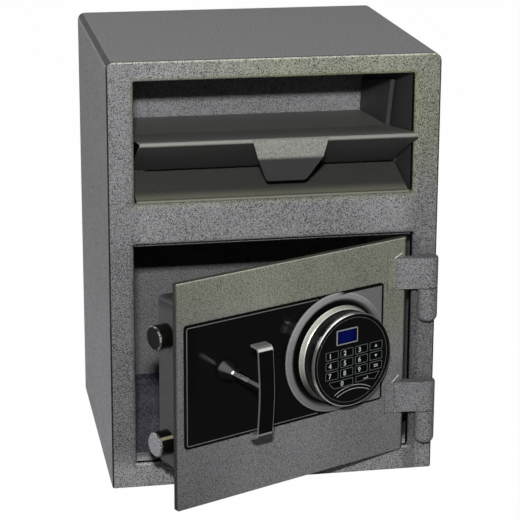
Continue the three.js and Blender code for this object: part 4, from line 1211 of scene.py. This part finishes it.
def stroke(name: str, line: list[Point2], width: float, height: float) -> Mesh:
    """A thin raised line along an open path.

    Args:
        name: the mesh's name.
        line: the path.
        width: of the line.
        height: above the surface at z = 0.

    Returns:
        The mesh in millimetres.
    """
    soft = min(width, height) * SOFT_LINE
    half = width / 2
    profile = [(-half, 0), (-half, height - soft), (soft - half, height), (half - soft, height),
               (half, height - soft), (half, 0)]
    loops = []
    for side, z in profile:
        loop = []
        for i, here in enumerate(line):
            before, after = Vector(line[max(i - 1, 0)]), Vector(line[min(i + 1, len(line) - 1)])
            along = (after - before).normalized()
            offset = Vector((-along.y, along.x)) * side
            loop.append((here[0] + offset.x, here[1] + offset.y, z))
        loops.append(loop)
    return skin(name, loops, closed=False)


def slab(name: str, outline: list[Point2], height: float) -> Mesh:
    """A flat shape with a softened top edge, from z = 0 up.

    Args:
        name: the mesh's name.
        outline: counterclockwise.
        height: of the shape.

    Returns:
        The mesh in millimetres.
    """
    soft = height * SOFT_SLAB
    levels = [(0, 0), (0, height - soft), (soft, height)]
    return skin(name, [[(x, y, z) for x, y in inset(outline, d)] for d, z in levels], joined=False)


def glyph(name: str, text: str, size: float, height: float) -> Mesh:
    """A numeral as a solid mesh, centred on the origin.

    Args:
        name: the mesh's name.
        text: one numeral.
        size: the font's size.
        height: of the raised print.

    Returns:
        The mesh in millimetres.
    """
    curve = bpy.data.curves.new(name, "FONT")
    curve.body = text
    curve.size = size
    curve.extrude = height / 2
    curve.offset = size * DIGIT_WEIGHT
    curve.align_x = "CENTER"
    curve.align_y = "CENTER"
    mesh = worked_out(linked(name, curve))
    work = bmesh.new()
    work.from_mesh(mesh)
    bmesh.ops.remove_doubles(work, verts=work.verts, dist=size * DIGIT_MERGE)
    low, high = (Vector([pick(v.co[k] for v in work.verts) for k in range(3)]) for pick in (min, max))
    middle = (low + high) / 2
    bmesh.ops.translate(work, verts=work.verts, vec=(-middle.x, -middle.y, -low.z))
    return settled(mesh, work)


def put(mesh: Mesh, place: Matrix, finish: Finish, body: str, smooth: bool = False) -> None:
    """Turns a mesh in millimetres into a finished piece at the origin that rides on a body.

    Args:
        mesh: the mesh, whose name becomes the piece's name.
        place: where it goes, as a matrix in metres.
        finish: what it is dressed in.
        body: the CAD body that it moves with.
        smooth: whether its faces are shaded smooth.
    """
    mesh.transform(place @ Matrix.Scale(MM, 4))
    mesh.materials.clear()
    mesh.materials.append(finish.material())
    for polygon in mesh.polygons:
        polygon.use_smooth = smooth
    piece = linked(mesh.name, mesh)
    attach(piece, body)
    log.info("%s rides on %s with %d faces", piece.name, body, len(mesh.polygons))


# Geometry Nodes


class Pattern(Nodes):
    """A Geometry Nodes tree with named inputs."""

    def __init__(self, name: str, **inputs: Number) -> None:
        """Starts a tree.

        Args:
            name: the tree's name.
            inputs: named sizes with their values; whole numbers make integer inputs.
        """
        super().__init__(bpy.data.node_groups.new(name, "GeometryNodeTree"))
        self.name = name
        self.values = inputs
        self.ids: dict[str, str] = {}
        for label, value in inputs.items():
            kind = "NodeSocketInt" if isinstance(value, int) else "NodeSocketFloat"
            socket = self.tree.interface.new_socket(label, in_out="INPUT", socket_type=kind)
            self.ids[label] = socket.identifier
        self.tree.interface.new_socket("Geometry", in_out="OUTPUT", socket_type="NodeSocketGeometry")

    def size(self, label: str) -> Value:
        """A named input."""
        return self.add("NodeGroupInput", output=label)

    def make(self, instances: Value, finish: Finish) -> Mesh:
        """Realizes the instances, sets the material and evaluates the tree.

        Args:
            instances: the geometry to finish.
            finish: the material to set.

        Returns:
            A plain mesh in millimetres with the tree's name.
        """
        real = self.add("GeometryNodeRealizeInstances", sockets={"Geometry": instances})
        look = {"Geometry": real, "Material": finish.material()}
        dressed = self.add("GeometryNodeSetMaterial", sockets=look)
        self.add("NodeGroupOutput", sockets={0: dressed})
        helper = linked(self.name, bpy.data.meshes.new(f"{self.name}_seed"))
        modifier = helper.modifiers.new(self.name, "NODES")
        modifier.node_group = self.tree
        for label, value in self.values.items():
            modifier[self.ids[label]] = value
        mesh = worked_out(helper)
        mesh.name = self.name
        return mesh


# Places


@dataclass(frozen=True)
class DoorPlace:
    """Turns places on the shut door into places on the door as it stands."""

    hinge: Vector = field(default_factory=lambda: Vector((163.5, -166.0, 0.0)))
    face: float = -153.0
    ajar: float = math.radians(25)

    def at(self, x: float, out: float, z: float) -> Matrix:
        """The matrix that lays a drawing on the door, X to the right, Y up, Z out.

        Args:
            x: across the shut door.
            out: in front of the door plate.
            z: up.

        Returns:
            A matrix in metres.
        """
        swing = Matrix.Translation(self.hinge * MM) @ Matrix.Rotation(self.ajar, 4, "Z")
        shut = Matrix.Translation((Vector((x, self.face - out, z)) - self.hinge) * MM)
        return swing @ shut @ Matrix.Rotation(math.pi / 2, 4, "X")

    def axes(self, x: float = 0.0, out: float = 0.0, z: float = 0.0) -> dict[str, Vector | float]:
        """The centre and turn of a finish that is measured from a point of the shut door."""
        return {"centre": self.at(x, out, z).translation, "turn": self.ajar}


DOOR = DoorPlace()
LOCK_X, LOCK_Z = 48.3, 158.5
HANDLE_X, HANDLE_Z = -88.0, 166.5
BOLT_TIP_X = -157.6
GRIP_DROP = 2.5
LOCK_AXES = DOOR.axes(LOCK_X, 0, LOCK_Z)
DOOR_OLIVE = Ramp(0.5, 2.0, 300, 450)
# Painted shade on the door, darker towards its lower left.
DOOR_PAINTED_SHADE = Ramp(1.0, 0.15, 0, -140)


class Paint(Enum):
    """The finishes of the nodes and the added pieces."""

    HAMMERED = FramePaint("hammered_front", centre=Vector((0.0, -0.155, 0.0)), olive=Ramp(1.0, 2.0, 740, 920),
                          top=462.0, arris=2.2)
    HAMMERED_DOOR = DoorPaint("hammered_door", **DOOR.axes(), olive=DOOR_OLIVE, dull=DOOR_PAINTED_SHADE, light=0.262,
                              dark=0.06, drop=1.0, top=266.5)
    HAMMERED_HINGE = HammerPaint("hammered_hinge", light=0.265)
    # A slightly darker copy of the door's enamel: painted shade on the fillets' slopes, with the door's ramp
    # of painted shade.
    HAMMERED_FILLET = HammerPaint("hammered_fillet", **DOOR.axes(), olive=DOOR_OLIVE, dull=DOOR_PAINTED_SHADE,
                                  light=0.25, dark=0.05, drop=1.0, dull_least=0.72)
    HAMMERED_INSIDE = HammerPaint("hammered_inside", light=0.23, dark=0.06, relief=0.3)
    HAMMERED_BACK = HammerPaint("hammered_back", light=0.19, dark=0.03, relief=0.3)
    # A lighter copy of the hammered enamel: painted light on the bottom stop.
    HAMMERED_STOP = HammerPaint("hammered_stop", light=0.4, dark=0.06)
    SHELL = ShellPaint("shell_paint", colour=(0.165, 0.165, 0.167), spread=0.6, roughness=0.55, peel=2.0)
    PAN = PanPaint("pan_paint", colour=(0.045, 0.045, 0.047), peel=2.0)
    SILL = SillPaint("sill_paint", colour=(0.055, 0.055, 0.05))
    RECESS = SmoothPaint("recess_paint")
    WELD = SmoothPaint("weld_burr_paint", colour=(0.72, 0.72, 0.68), spread=0.5, roughness=0.4, peel=0.9)
    TRAY = TrayPaint("tray_paint", centre=Vector((0.0, -177.9, 381.1)) * MM)
    TAB = TabPaint("tab_paint")
    CARPET = Carpet("carpet")
    STEEL = BrushedMetal("plated_steel")
    BRASS = BrushedMetal("brass", colour=(0.52, 0.38, 0.14), roughness=0.35)
    BOLT = BoltSteel("bolt_steel", **DOOR.axes(BOLT_TIP_X))
    BLACK = Gloss("gloss_black")
    LACQUER = Gloss("lacquer_black", colour=(0.003, 0.003, 0.0032), roughness=0.16, shine=0.5)
    KEYCAP = Gloss("keycap_black", colour=(0.0022, 0.0025, 0.003), roughness=0.25, shine=0.01)
    # The rings of tone paint the lit and shaded slopes of the escutcheon's raised ring.
    SILVER = SatinSilver("satin_silver", **LOCK_AXES, plate=(61.7, 64.0, -0.9), rings=(
        (55.5, 57.2, 0.16), (57.8, 60.2, (0.26, 0.26, 0.257)), (62.6, 63.4, 0.34),
        (64.2, 66.0, (0.26, 0.26, 0.265))))
    # The skirt: black below the groove and darkened away from its upper left, both painted shade.
    SKIRT = SatinSilver("satin_silver_skirt", **LOCK_AXES, colour=(0.72, 0.72, 0.64), black_below=8.8,
                        shaded=True)
    BEZEL = RimPlating("rim_plating", **LOCK_AXES, haze_size=6.0)
    STEM = StemPlating("stem_plating", **DOOR.axes(HANDLE_X, 0, HANDLE_Z), black=0.003,
                       plated=(0.75, 0.75, 0.73), roughness=0.16, shine=0.04)
    GRIP = GripPlating("grip_plating", **DOOR.axes(HANDLE_X, 0, HANDLE_Z - GRIP_DROP),
                       plated=(0.6, 0.6, 0.59), roughness=0.12, shine=0.02)
    CHROME = Polished("chrome")
    DISPLAY = DisplayGlass("display_glass", **DOOR.axes(LOCK_X - 7.1, 31, LOCK_Z + 27))
    INK = Ink("white_ink")
    GREY_INK = Ink("grey_ink", colour=(0.13, 0.14, 0.14))
    STRIPE = Ink("silver_stripe", colour=(0.14, 0.14, 0.14))


# Sub-assemblies


@dataclass
class Assembly:
    """A sub-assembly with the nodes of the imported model, and the finishes of its own ones."""

    nodes: dict[str, bpy.types.Object]
    finishes: ClassVar[dict[Paint, str]] = {}

    def build(self) -> None:
        """Dresses the nodes and adds the pieces."""
        for paint, names in self.finishes.items():
            for name in names.split():
                paint.value.dress(self.nodes[name])
                log.info("%s is dressed in %s", name, paint.value.name)
        self.add()

    def add(self) -> None:
        """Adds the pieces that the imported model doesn't have. Not every sub-assembly has any."""


@dataclass
class Cabinet(Assembly):
    """The welded cabinet with its carpeted floor."""

    pile_height: float = 2.2
    pile_radius: float = 0.75
    pile_tip: float = 0.25
    pile_spacing: float = 2.3
    pile_lean: float = 0.4
    pile_turn: float = 3.1
    pile_scale: Point2 = (0.7, 1.15)
    seed: int = 7
    back_sheet: float = 3.0
    edge_thickness: float = 2.4
    edge_rise: float = 8.0
    edge_wave: float = 0.7
    edge_points: int = 60
    finishes = {
        Paint.HAMMERED: "front_frame", Paint.HAMMERED_HINGE: "hinge_barrel_lower hinge_barrel_upper",
        Paint.SHELL: "body_wrap", Paint.HAMMERED_BACK: "back_panel base_plate stop_top",
        Paint.HAMMERED_STOP: "stop_bottom", Paint.STEEL: "hinge_pin_lower hinge_pin_upper",
        Paint.CARPET: "floor_mat"}

    def add(self) -> None:
        """Lays the carpet's pile and turned edge."""
        self.pile()
        self.turned_edge()

    def turned_edge(self) -> None:
        """Carries the mat over the back panel's foot and a little way up the panel."""
        _, mat = (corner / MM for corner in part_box("floor_mat"))
        _, back = (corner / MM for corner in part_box("back_panel"))
        wall = back.y - self.back_sheet - 0.4
        front = wall - self.edge_thickness
        start = mat.y - 4
        crest = self.edge_rise
        rise = [(start, -0.3), (wall - 5, -0.3), (wall - 2, 1), (wall, 4), (wall, crest), (front, crest),
                (front - 0.6, 4.5), (front - 3, 2.4), (start, 1.2)]
        half = mat.x - 3
        places = [-half + 2 * half * i / (self.edge_points - 1) for i in range(self.edge_points)]
        wave = [self.edge_wave * math.sin(x * 0.9) * math.sin(x * 0.23 + 1) for x in places]
        loops = [[(x, y, mat.z + z + (up if z == crest else 0.0)) for x, up in zip(places, wave)]
                 for y, z in rise]
        put(skin("mat_turned_edge", loops, closed=False), Matrix(), Paint.CARPET.value, "cabinet")

    def pile(self) -> None:
        """Stands short tufts all over the mat."""
        low, high = (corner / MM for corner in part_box("floor_mat"))
        margin = self.pile_radius * 3
        pattern = Pattern("carpet_pile", Width=high.x - low.x - margin, Length=high.y - low.y - margin,
                          Density=1 / self.pile_spacing**2, Height=self.pile_height, Radius=self.pile_radius,
                          Seed=self.seed)
        seed = pattern.size("Seed")
        ground = pattern.add("GeometryNodeMeshGrid", sockets={
            "Size X": pattern.size("Width"), "Size Y": pattern.size("Length"),
            "Vertices X": 2, "Vertices Y": 2})
        spread = pattern.add("GeometryNodeDistributePointsOnFaces", sockets={
            "Mesh": ground, "Density": pattern.size("Density"), "Seed": seed})
        tuft = pattern.add("GeometryNodeMeshCone", {"fill_type": "NGON"}, {
            "Vertices": 5, "Radius Top": self.pile_tip, "Radius Bottom": pattern.size("Radius"),
            "Depth": pattern.size("Height")})
        lean = pattern.add("FunctionNodeRandomValue", {"data_type": "FLOAT_VECTOR"}, {
            0: (-self.pile_lean, -self.pile_lean, 0.0), 1: (self.pile_lean, self.pile_lean, self.pile_turn),
            "Seed": seed})
        grow = pattern.add("FunctionNodeRandomValue", {"data_type": "FLOAT"}, {
            2: self.pile_scale[0], 3: self.pile_scale[1], "Seed": seed}, output=1)
        stand = pattern.add("GeometryNodeInstanceOnPoints", sockets={
            "Points": spread, "Instance": tuft, "Rotation": lean, "Scale": grow})
        middle = (low + high) / 2
        place = Matrix.Translation(Vector((middle.x, middle.y, high.z)) * MM)
        put(pattern.make(stand, Paint.CARPET.value), place, Paint.CARPET.value, "cabinet")


@dataclass
class Hopper(Assembly):
    """The deposit recess and its turning tray."""

    finishes = {
        Paint.RECESS: "hopper_side_left hopper_side_right tray_cheek_left tray_cheek_right "
                      "axle_bush_left axle_bush_right",
        Paint.SILL: "hopper_sill", Paint.HAMMERED_INSIDE: "hopper_baffle", Paint.STEEL: "tray_axle stop_arm",
        Paint.TRAY: "deposit_tray", Paint.TAB: "pull_tab"}


@dataclass
class Door(Assembly):
    """The door plate with its bolt box, hinge leaves and black cover plate."""

    cover_left: float = -139.2
    cover_bottom: float = 92.4
    cover_top: float = 222.8
    cover_face: float = 1.8
    stripe_inset: float = 3.0
    stripe_corner: float = 2.2
    stripe_end: float = 22.0
    stripe_width: float = 0.9
    stripe_height: float = 0.12
    weld_length: float = 35.0
    weld_points: int = 36
    weld_x: float = 127.5
    weld_profile: tuple[Point2, ...] = (
        (-9.5, 0.0), (-6.5, 0.25), (-4.0, 0.75), (-1.5, 1.5), (0.4, 2.3), (1.8, 2.9), (1.8, 0.0))
    burr_drop: float = 0.7
    burrs: tuple[tuple[int, float, float, float], ...] = (
        (1, 9.5, 0.3, 4.0), (1, 6.0, 4.2, -5.0), (0, 8.0, 0.3, 6.4))
    leaf_middles: Point2 = (90.2, 229.3)
    leaf_half: float = 17.0
    finishes = {
        Paint.HAMMERED_DOOR: "door_plate", Paint.HAMMERED_HINGE: "hinge_leaf_lower hinge_leaf_upper",
        Paint.PAN: "door_pan", Paint.BLACK: "fascia_plate", Paint.BRASS: "spindle_bush",
        Paint.STEEL: "bolt_guide_lower bolt_guide_upper lock_case"}

    def add(self) -> None:
        """Adds the stripe and the weld beads."""
        self.stripe()
        for name, middle in zip(("lower", "upper"), self.leaf_middles):
            self.weld(f"weld_fillet_{name}", middle)
        for number, (leaf, across, out, up) in enumerate(self.burrs, 1):
            self.burr(f"weld_burr_{number}", self.leaf_middles[leaf], Vector((across, up, out)))

    def stripe(self) -> None:
        """Prints the thin silver line round the cover plate, broken where the lock's plate covers it."""
        half = (self.cover_top - self.cover_bottom) / 2 - self.stripe_inset
        start = LOCK_X - self.stripe_end - self.cover_left
        radius = self.stripe_corner
        corner = [(self.stripe_inset + radius + x, half - radius + y) for x, y in circle(radius, 6, 90, 90)]
        upper = [(start, half), *corner]
        lower = [(x, -y) for x, y in reversed(upper)]
        place = DOOR.at(self.cover_left, self.cover_face, (self.cover_top + self.cover_bottom) / 2)
        put(stroke("fascia_stripe", upper + lower, self.stripe_width, self.stripe_height), place,
            Paint.STRIPE.value, "door")

    def weld(self, name: str, middle: float) -> None:
        """Lays the smoothed fillet that blends a hinge leaf's end into the plate.

        Args:
            name: the piece's name.
            middle: the height of the leaf's middle.
        """
        half = self.weld_length / 2
        heights = [-half + self.weld_length * i / (self.weld_points - 1) for i in range(self.weld_points)]
        loops = []
        for x, out in self.weld_profile:
            loop = []
            for z in heights:
                ripple = 1 + 0.12 * math.sin(z * 1.9) + 0.08 * math.sin(z * 0.83 + 1)
                fade = min(1.0, (half - abs(z)) / 3 + 0.15)
                loop.append((self.weld_x + x * (0.9 + 0.1 * ripple), z, out * ripple * fade))
            loops.append(loop)
        put(skin(name, loops, closed=False), DOOR.at(0, 0.05, middle), Paint.HAMMERED_FILLET.value, "door",
            smooth=True)

    def burr(self, name: str, middle: float, reach: Vector) -> None:
        """Runs a line of small bright drops from a leaf's upper left corner.

        Args:
            name: the piece's name.
            middle: the height of the leaf's middle.
            reach: where the line ends: to the right, up and in front of its start.
        """
        pattern = Pattern(name, Across=reach.x, Up=reach.y, Out=reach.z, Radius=self.burr_drop, Seed=3,
                          Count=max(2, round(reach.length / self.burr_drop)))
        end = pattern.add("ShaderNodeCombineXYZ", sockets={
            "X": pattern.size("Across"), "Y": pattern.size("Up"), "Z": pattern.size("Out")})
        line = pattern.add("GeometryNodeMeshLine", {"mode": "END_POINTS"}, {
            "Count": pattern.size("Count"), "Offset": end})
        drop = pattern.add("GeometryNodeMeshUVSphere", sockets={
            "Segments": 8, "Rings": 6, "Radius": pattern.size("Radius")})
        vary = pattern.add("FunctionNodeRandomValue", {"data_type": "FLOAT_VECTOR"}, {
            0: (0.7, 0.5, 0.4), 1: (1.3, 0.9, 0.9), "Seed": pattern.size("Seed")})
        beads = pattern.add("GeometryNodeInstanceOnPoints", sockets={
            "Points": line, "Instance": drop, "Scale": vary})
        place = DOOR.at(self.weld_x, 0.4, middle + self.leaf_half)
        put(pattern.make(beads, Paint.WELD.value), place, Paint.WELD.value, "door", smooth=True)


class Legend(Enum):
    """What a key carries."""

    DIGIT = "digit"
    UP = "up"
    DOWN = "down"
    BARS = "menu"
    RETURN = "enter"

    def mesh(self, name: str, text: str, height: float) -> Mesh:
        """The printed mark.

        Args:
            name: the mesh's name.
            text: the numeral, for a digit.
            height: of the print.

        Returns:
            The mesh, centred on the key.
        """
        match self:
            case Legend.DIGIT:
                return glyph(name, text, DIGIT_SIZE, height)
            case Legend.UP:
                return slab(name, [(-1.7, -1.3), (1.7, -1.3), (0.0, 1.7)], height)
            case Legend.DOWN:
                return slab(name, [(0.0, -1.7), (1.7, 1.3), (-1.7, 1.3)], height)
            case Legend.BARS:
                return stroke(name, [(-2.6, 1.0), (2.6, 1.0), (2.6, -1.0), (-2.6, -1.0)], MARK_WIDTH, height)
            case Legend.RETURN:
                return stroke(name, [(2.6, 1.4), (2.6, -0.6), (-2.4, -0.6)], MARK_WIDTH, height)


@dataclass
class KeypadLock(Assembly):
    """The round electronic lock with its keys, display and battery cover, measured from its axis."""

    face_top: float = 31.0
    key_top: float = 31.7
    columns: tuple[float, ...] = (-26.7, -7.6, 11.5, 30.6)
    rows: tuple[float, ...] = (9.6, -1.3, -12.2)
    key_size: Point2 = (16.5, 9.0)
    line: float = 0.5
    print_height: float = 0.1
    digit_shift: float = 2.5
    layout: tuple[tuple[str, ...], ...] = (
        ("1", "2", "3", "up"), ("4", "5", "6", "down"), ("7", "8", "9", "menu"))
    wide_sides: Point2 = (-30.825, 36.87)
    wide_ends: Point2 = (-27.6, -18.6)
    wide_split: float = 1.35
    wide_gap: float = 2.6
    wide_chamfer: float = 6.75
    wide_inset: float = 0.5
    wide_legends: tuple[Point2, Point2] = ((-13.3, -23.0), (17.5, -23.0))
    ring_radius: float = 45.6
    ring_width: float = 0.35
    arc_width: float = 0.8
    arc_height: float = 0.35
    arc_x: float = 1.0
    arcs: tuple[tuple[str, float, float, float, float], ...] = (
        ("cover_arc", 21.2, 5.4, 0.9, -37.0), ("cover_arc_outer", 23.6, 6.6, 0.0, -34.8))
    finishes = {
        Paint.SILVER: "lock_escutcheon", Paint.SKIRT: "lock_skirt", Paint.BLACK: "lock_face battery_cover",
        Paint.LACQUER: "lock_housing", Paint.BEZEL: "lock_bezel",
        Paint.DISPLAY: "display_module display_window",
        Paint.KEYCAP: "key_1 key_2 key_3 key_4 key_5 key_6 key_7 key_8 key_9 key_0 key_up key_down key_menu "
                      "key_enter"}

    def add(self) -> None:
        """Adds outlines, legends, the face's ring and the cover's trim."""
        small = rounded(self.key_size[0] - 0.1, self.key_size[1] - 0.1, 1.0)
        for z, names in zip(self.rows, self.layout):
            for x, name in zip(self.columns, names):
                mark = Legend.DIGIT if name.isdigit() else Legend(name)
                shift = self.digit_shift if mark is Legend.DIGIT else 0.0
                self.key(name, [(x + a, z + b) for a, b in small], mark, (x - shift, z))
        self.wide_keys()
        self.trim()

    def lay(self, mesh: Mesh, out: float, paint: Paint, body: str, slot: str, at: Point2 = (0, 0)) -> None:
        """Puts a drawing on the lock."""
        put(mesh, DOOR.at(LOCK_X + at[0], out, LOCK_Z + at[1]), paint.value, body)

    def key(self, name: str, outline: list[Point2], mark: Legend, at: Point2) -> None:
        """Outlines one key and prints its legend.

        Args:
            name: the key's name without its prefix.
            outline: the outer edge of its printed outline.
            mark: what it carries.
            at: the legend's place.
        """
        body = f"key_{name}"
        ring = border(f"{body}_outline", outline, self.line, self.print_height)
        self.lay(ring, self.key_top, Paint.GREY_INK, body, "gloss_black")
        legend = mark.mesh(f"{body}_legend", name, self.print_height)
        self.lay(legend, self.key_top, Paint.INK, body, "gloss_black", at)

    def wide_keys(self) -> None:
        """Outlines the two wide keys of the fourth row and prints their legends."""
        left, right = self.wide_sides
        bottom, top = self.wide_ends
        cut = self.wide_chamfer
        split = self.wide_split
        start = split + self.wide_gap
        zero = [(left, bottom + cut), (left + cut, bottom), (split, bottom), (split, top), (left, top)]
        enter = [(start, bottom + 1), ((start + right) / 2, bottom + 2), (right - cut, bottom), (right, top),
                 (start, top)]
        keys = (("0", zero, Legend.DIGIT), ("enter", enter, Legend.RETURN))
        for (name, outline, mark), at in zip(keys, self.wide_legends):
            self.key(name, inset(outline, self.wide_inset), mark, at)

    def trim(self) -> None:
        """Adds the face's fine ring and the bright arcs about the battery cover."""
        ring = border("face_ring", circle(self.ring_radius, 96), self.ring_width, self.print_height)
        self.lay(ring, self.face_top, Paint.GREY_INK, "door", "gloss_black")
        for name, half, rise, lift, z in self.arcs:
            radius = (half**2 + rise**2) / (2 * rise)
            sweep = 2 * math.degrees(math.asin(half / radius))
            arc = [(x, y - radius + rise) for x, y in circle(radius, 25, 90 - sweep / 2, sweep)]
            mesh = stroke(name, arc, self.arc_width, self.arc_height)
            self.lay(mesh, self.face_top + lift, Paint.CHROME, "door", "chrome", (self.arc_x, z))


@dataclass
class Handle(Assembly):
    """The pull handle, which turns the cam behind the door."""

    finishes = {Paint.STEM: "handle_stem", Paint.GRIP: "handle_grip", Paint.STEEL: "handle_cam"}


@dataclass
class BoltWork(Assembly):
    """The two round bolts and the carrier that slides them."""

    finishes = {Paint.BOLT: "bolt_lower bolt_upper", Paint.STEEL: "bolt_carrier"}


# Studio


@dataclass(frozen=True)
class Lamp:
    """A square area lamp aimed at a point. Places are metres, the power is watts."""

    name: str
    place: Point3
    power: float
    size: float
    aim: Point3 = (0.0, -0.1, 0.22)

    def build(self) -> None:
        """Adds the lamp to the scene."""
        light = bpy.data.lights.new(self.name, "AREA")
        light.energy = self.power
        light.size = self.size
        lamp = linked(self.name, light)
        lamp.location = self.place
        lamp.rotation_euler = (Vector(self.aim) - Vector(self.place)).to_track_quat("-Z", "Y").to_euler()


@dataclass
class Studio:
    """The camera, the lamps, the white surroundings and the pale floor. Places are metres, angles degrees."""

    camera_at: Point3 = (-0.36463, -2.03127, 0.82783)
    yaw: float = 10.509
    pitch: float = 15.112
    roll: float = 0.228
    focal_pixels: float = 1900.62
    centre_row: float = 200.0
    ambient: float = 0.03
    floor_half: float = 6.0
    floor_glow: float = 0.99
    lamps: tuple[Lamp, ...] = (
        Lamp("key", (-0.365, -1.944, 0.989), 74.0, 0.08, aim=(-0.365, -0.155, 2.107)),
        Lamp("left", (-2.3, 0.15, 0.6), 28.0, 1.2),
        Lamp("top", (-0.1, 0.1, 2.0), 3.0, 1.0),
    )

    def build(self) -> None:
        """Sets up everything that isn't part of the object."""
        self.camera()
        for lamp in self.lamps:
            lamp.build()
        self.world()
        self.floor()
        bpy.context.scene.view_settings.view_transform = "Standard"

    def camera(self) -> None:
        """Stands the camera where the photograph was taken from."""
        place = Matrix.Translation(self.camera_at)
        for angle, axis in ((-self.yaw, "Z"), (90 - self.pitch, "X"), (self.roll, "Z")):
            place = place @ Matrix.Rotation(math.radians(angle), 4, axis)
        data = bpy.data.cameras.new("camera")
        data.sensor_fit = "HORIZONTAL"
        data.lens = self.focal_pixels / IMAGE_SIZE * data.sensor_width
        data.shift_y = (self.centre_row - IMAGE_SIZE / 2) / IMAGE_SIZE
        data.clip_end = 50.0
        camera = linked("camera", data)
        camera.matrix_world = place
        bpy.context.scene.camera = camera

    def world(self) -> None:
        """White to the camera and in reflections, dimmer as light."""
        graph = Graph(bpy.data.worlds.new("studio"))
        rays = ("Is Camera Ray", "Is Glossy Ray", "Is Transmission Ray")
        camera, glossy, through = (graph.add("ShaderNodeLightPath", output=ray) for ray in rays)
        strength = self.ambient + camera.larger(glossy.larger(through)) * (1 - self.ambient)
        light = graph.add("ShaderNodeBackground", sockets={"Color": WHITE, "Strength": strength})
        graph.add("ShaderNodeOutputWorld", sockets={"Surface": light})
        bpy.context.scene.world = graph.owner

    def floor(self) -> None:
        """Lays a pale floor that still takes the object's shadow."""
        mesh = bpy.data.meshes.new("floor")
        half = self.floor_half
        corners = [(-half, -half, 0), (half, -half, 0), (half, half, 0), (-half, half, 0)]
        mesh.from_pydata(corners, [], [(0, 1, 2, 3)])
        floor = linked("floor", mesh)
        graph = Graph(bpy.data.materials.new("pale_floor"))
        matte = graph.add("ShaderNodeBsdfDiffuse", sockets={"Color": (0.5, 0.5, 0.5, 1.0)})
        glow = graph.add("ShaderNodeEmission", sockets={"Color": WHITE, "Strength": 1.0})
        seen = graph.add("ShaderNodeLightPath", output="Is Camera Ray")
        mix = graph.add("ShaderNodeMixShader", sockets={0: seen * self.floor_glow, 1: matte, 2: glow})
        graph.add("ShaderNodeOutputMaterial", sockets={"Surface": mix})
        mesh.materials.append(graph.owner)
        floor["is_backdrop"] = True


def plain(bounds: tuple) -> list[list[float]]:
    """Two corners as plain lists of numbers."""
    return [[float(part) for part in corner] for corner in bounds]


def main() -> None:
    """Builds the sub-assemblies in order."""
    logging.basicConfig(level=logging.INFO, format="%(message)s")
    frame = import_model()
    cad_bounds = plain(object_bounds())
    for part in (Cabinet, Hopper, Door, KeypadLock, Handle, BoltWork):
        part(frame["nodes"]).build()
        log.info("%s is done", part.__name__)
    Studio().build()
    {"cad": cad_bounds, "visual": plain(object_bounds())}


if __name__ == "__main__":
    main()
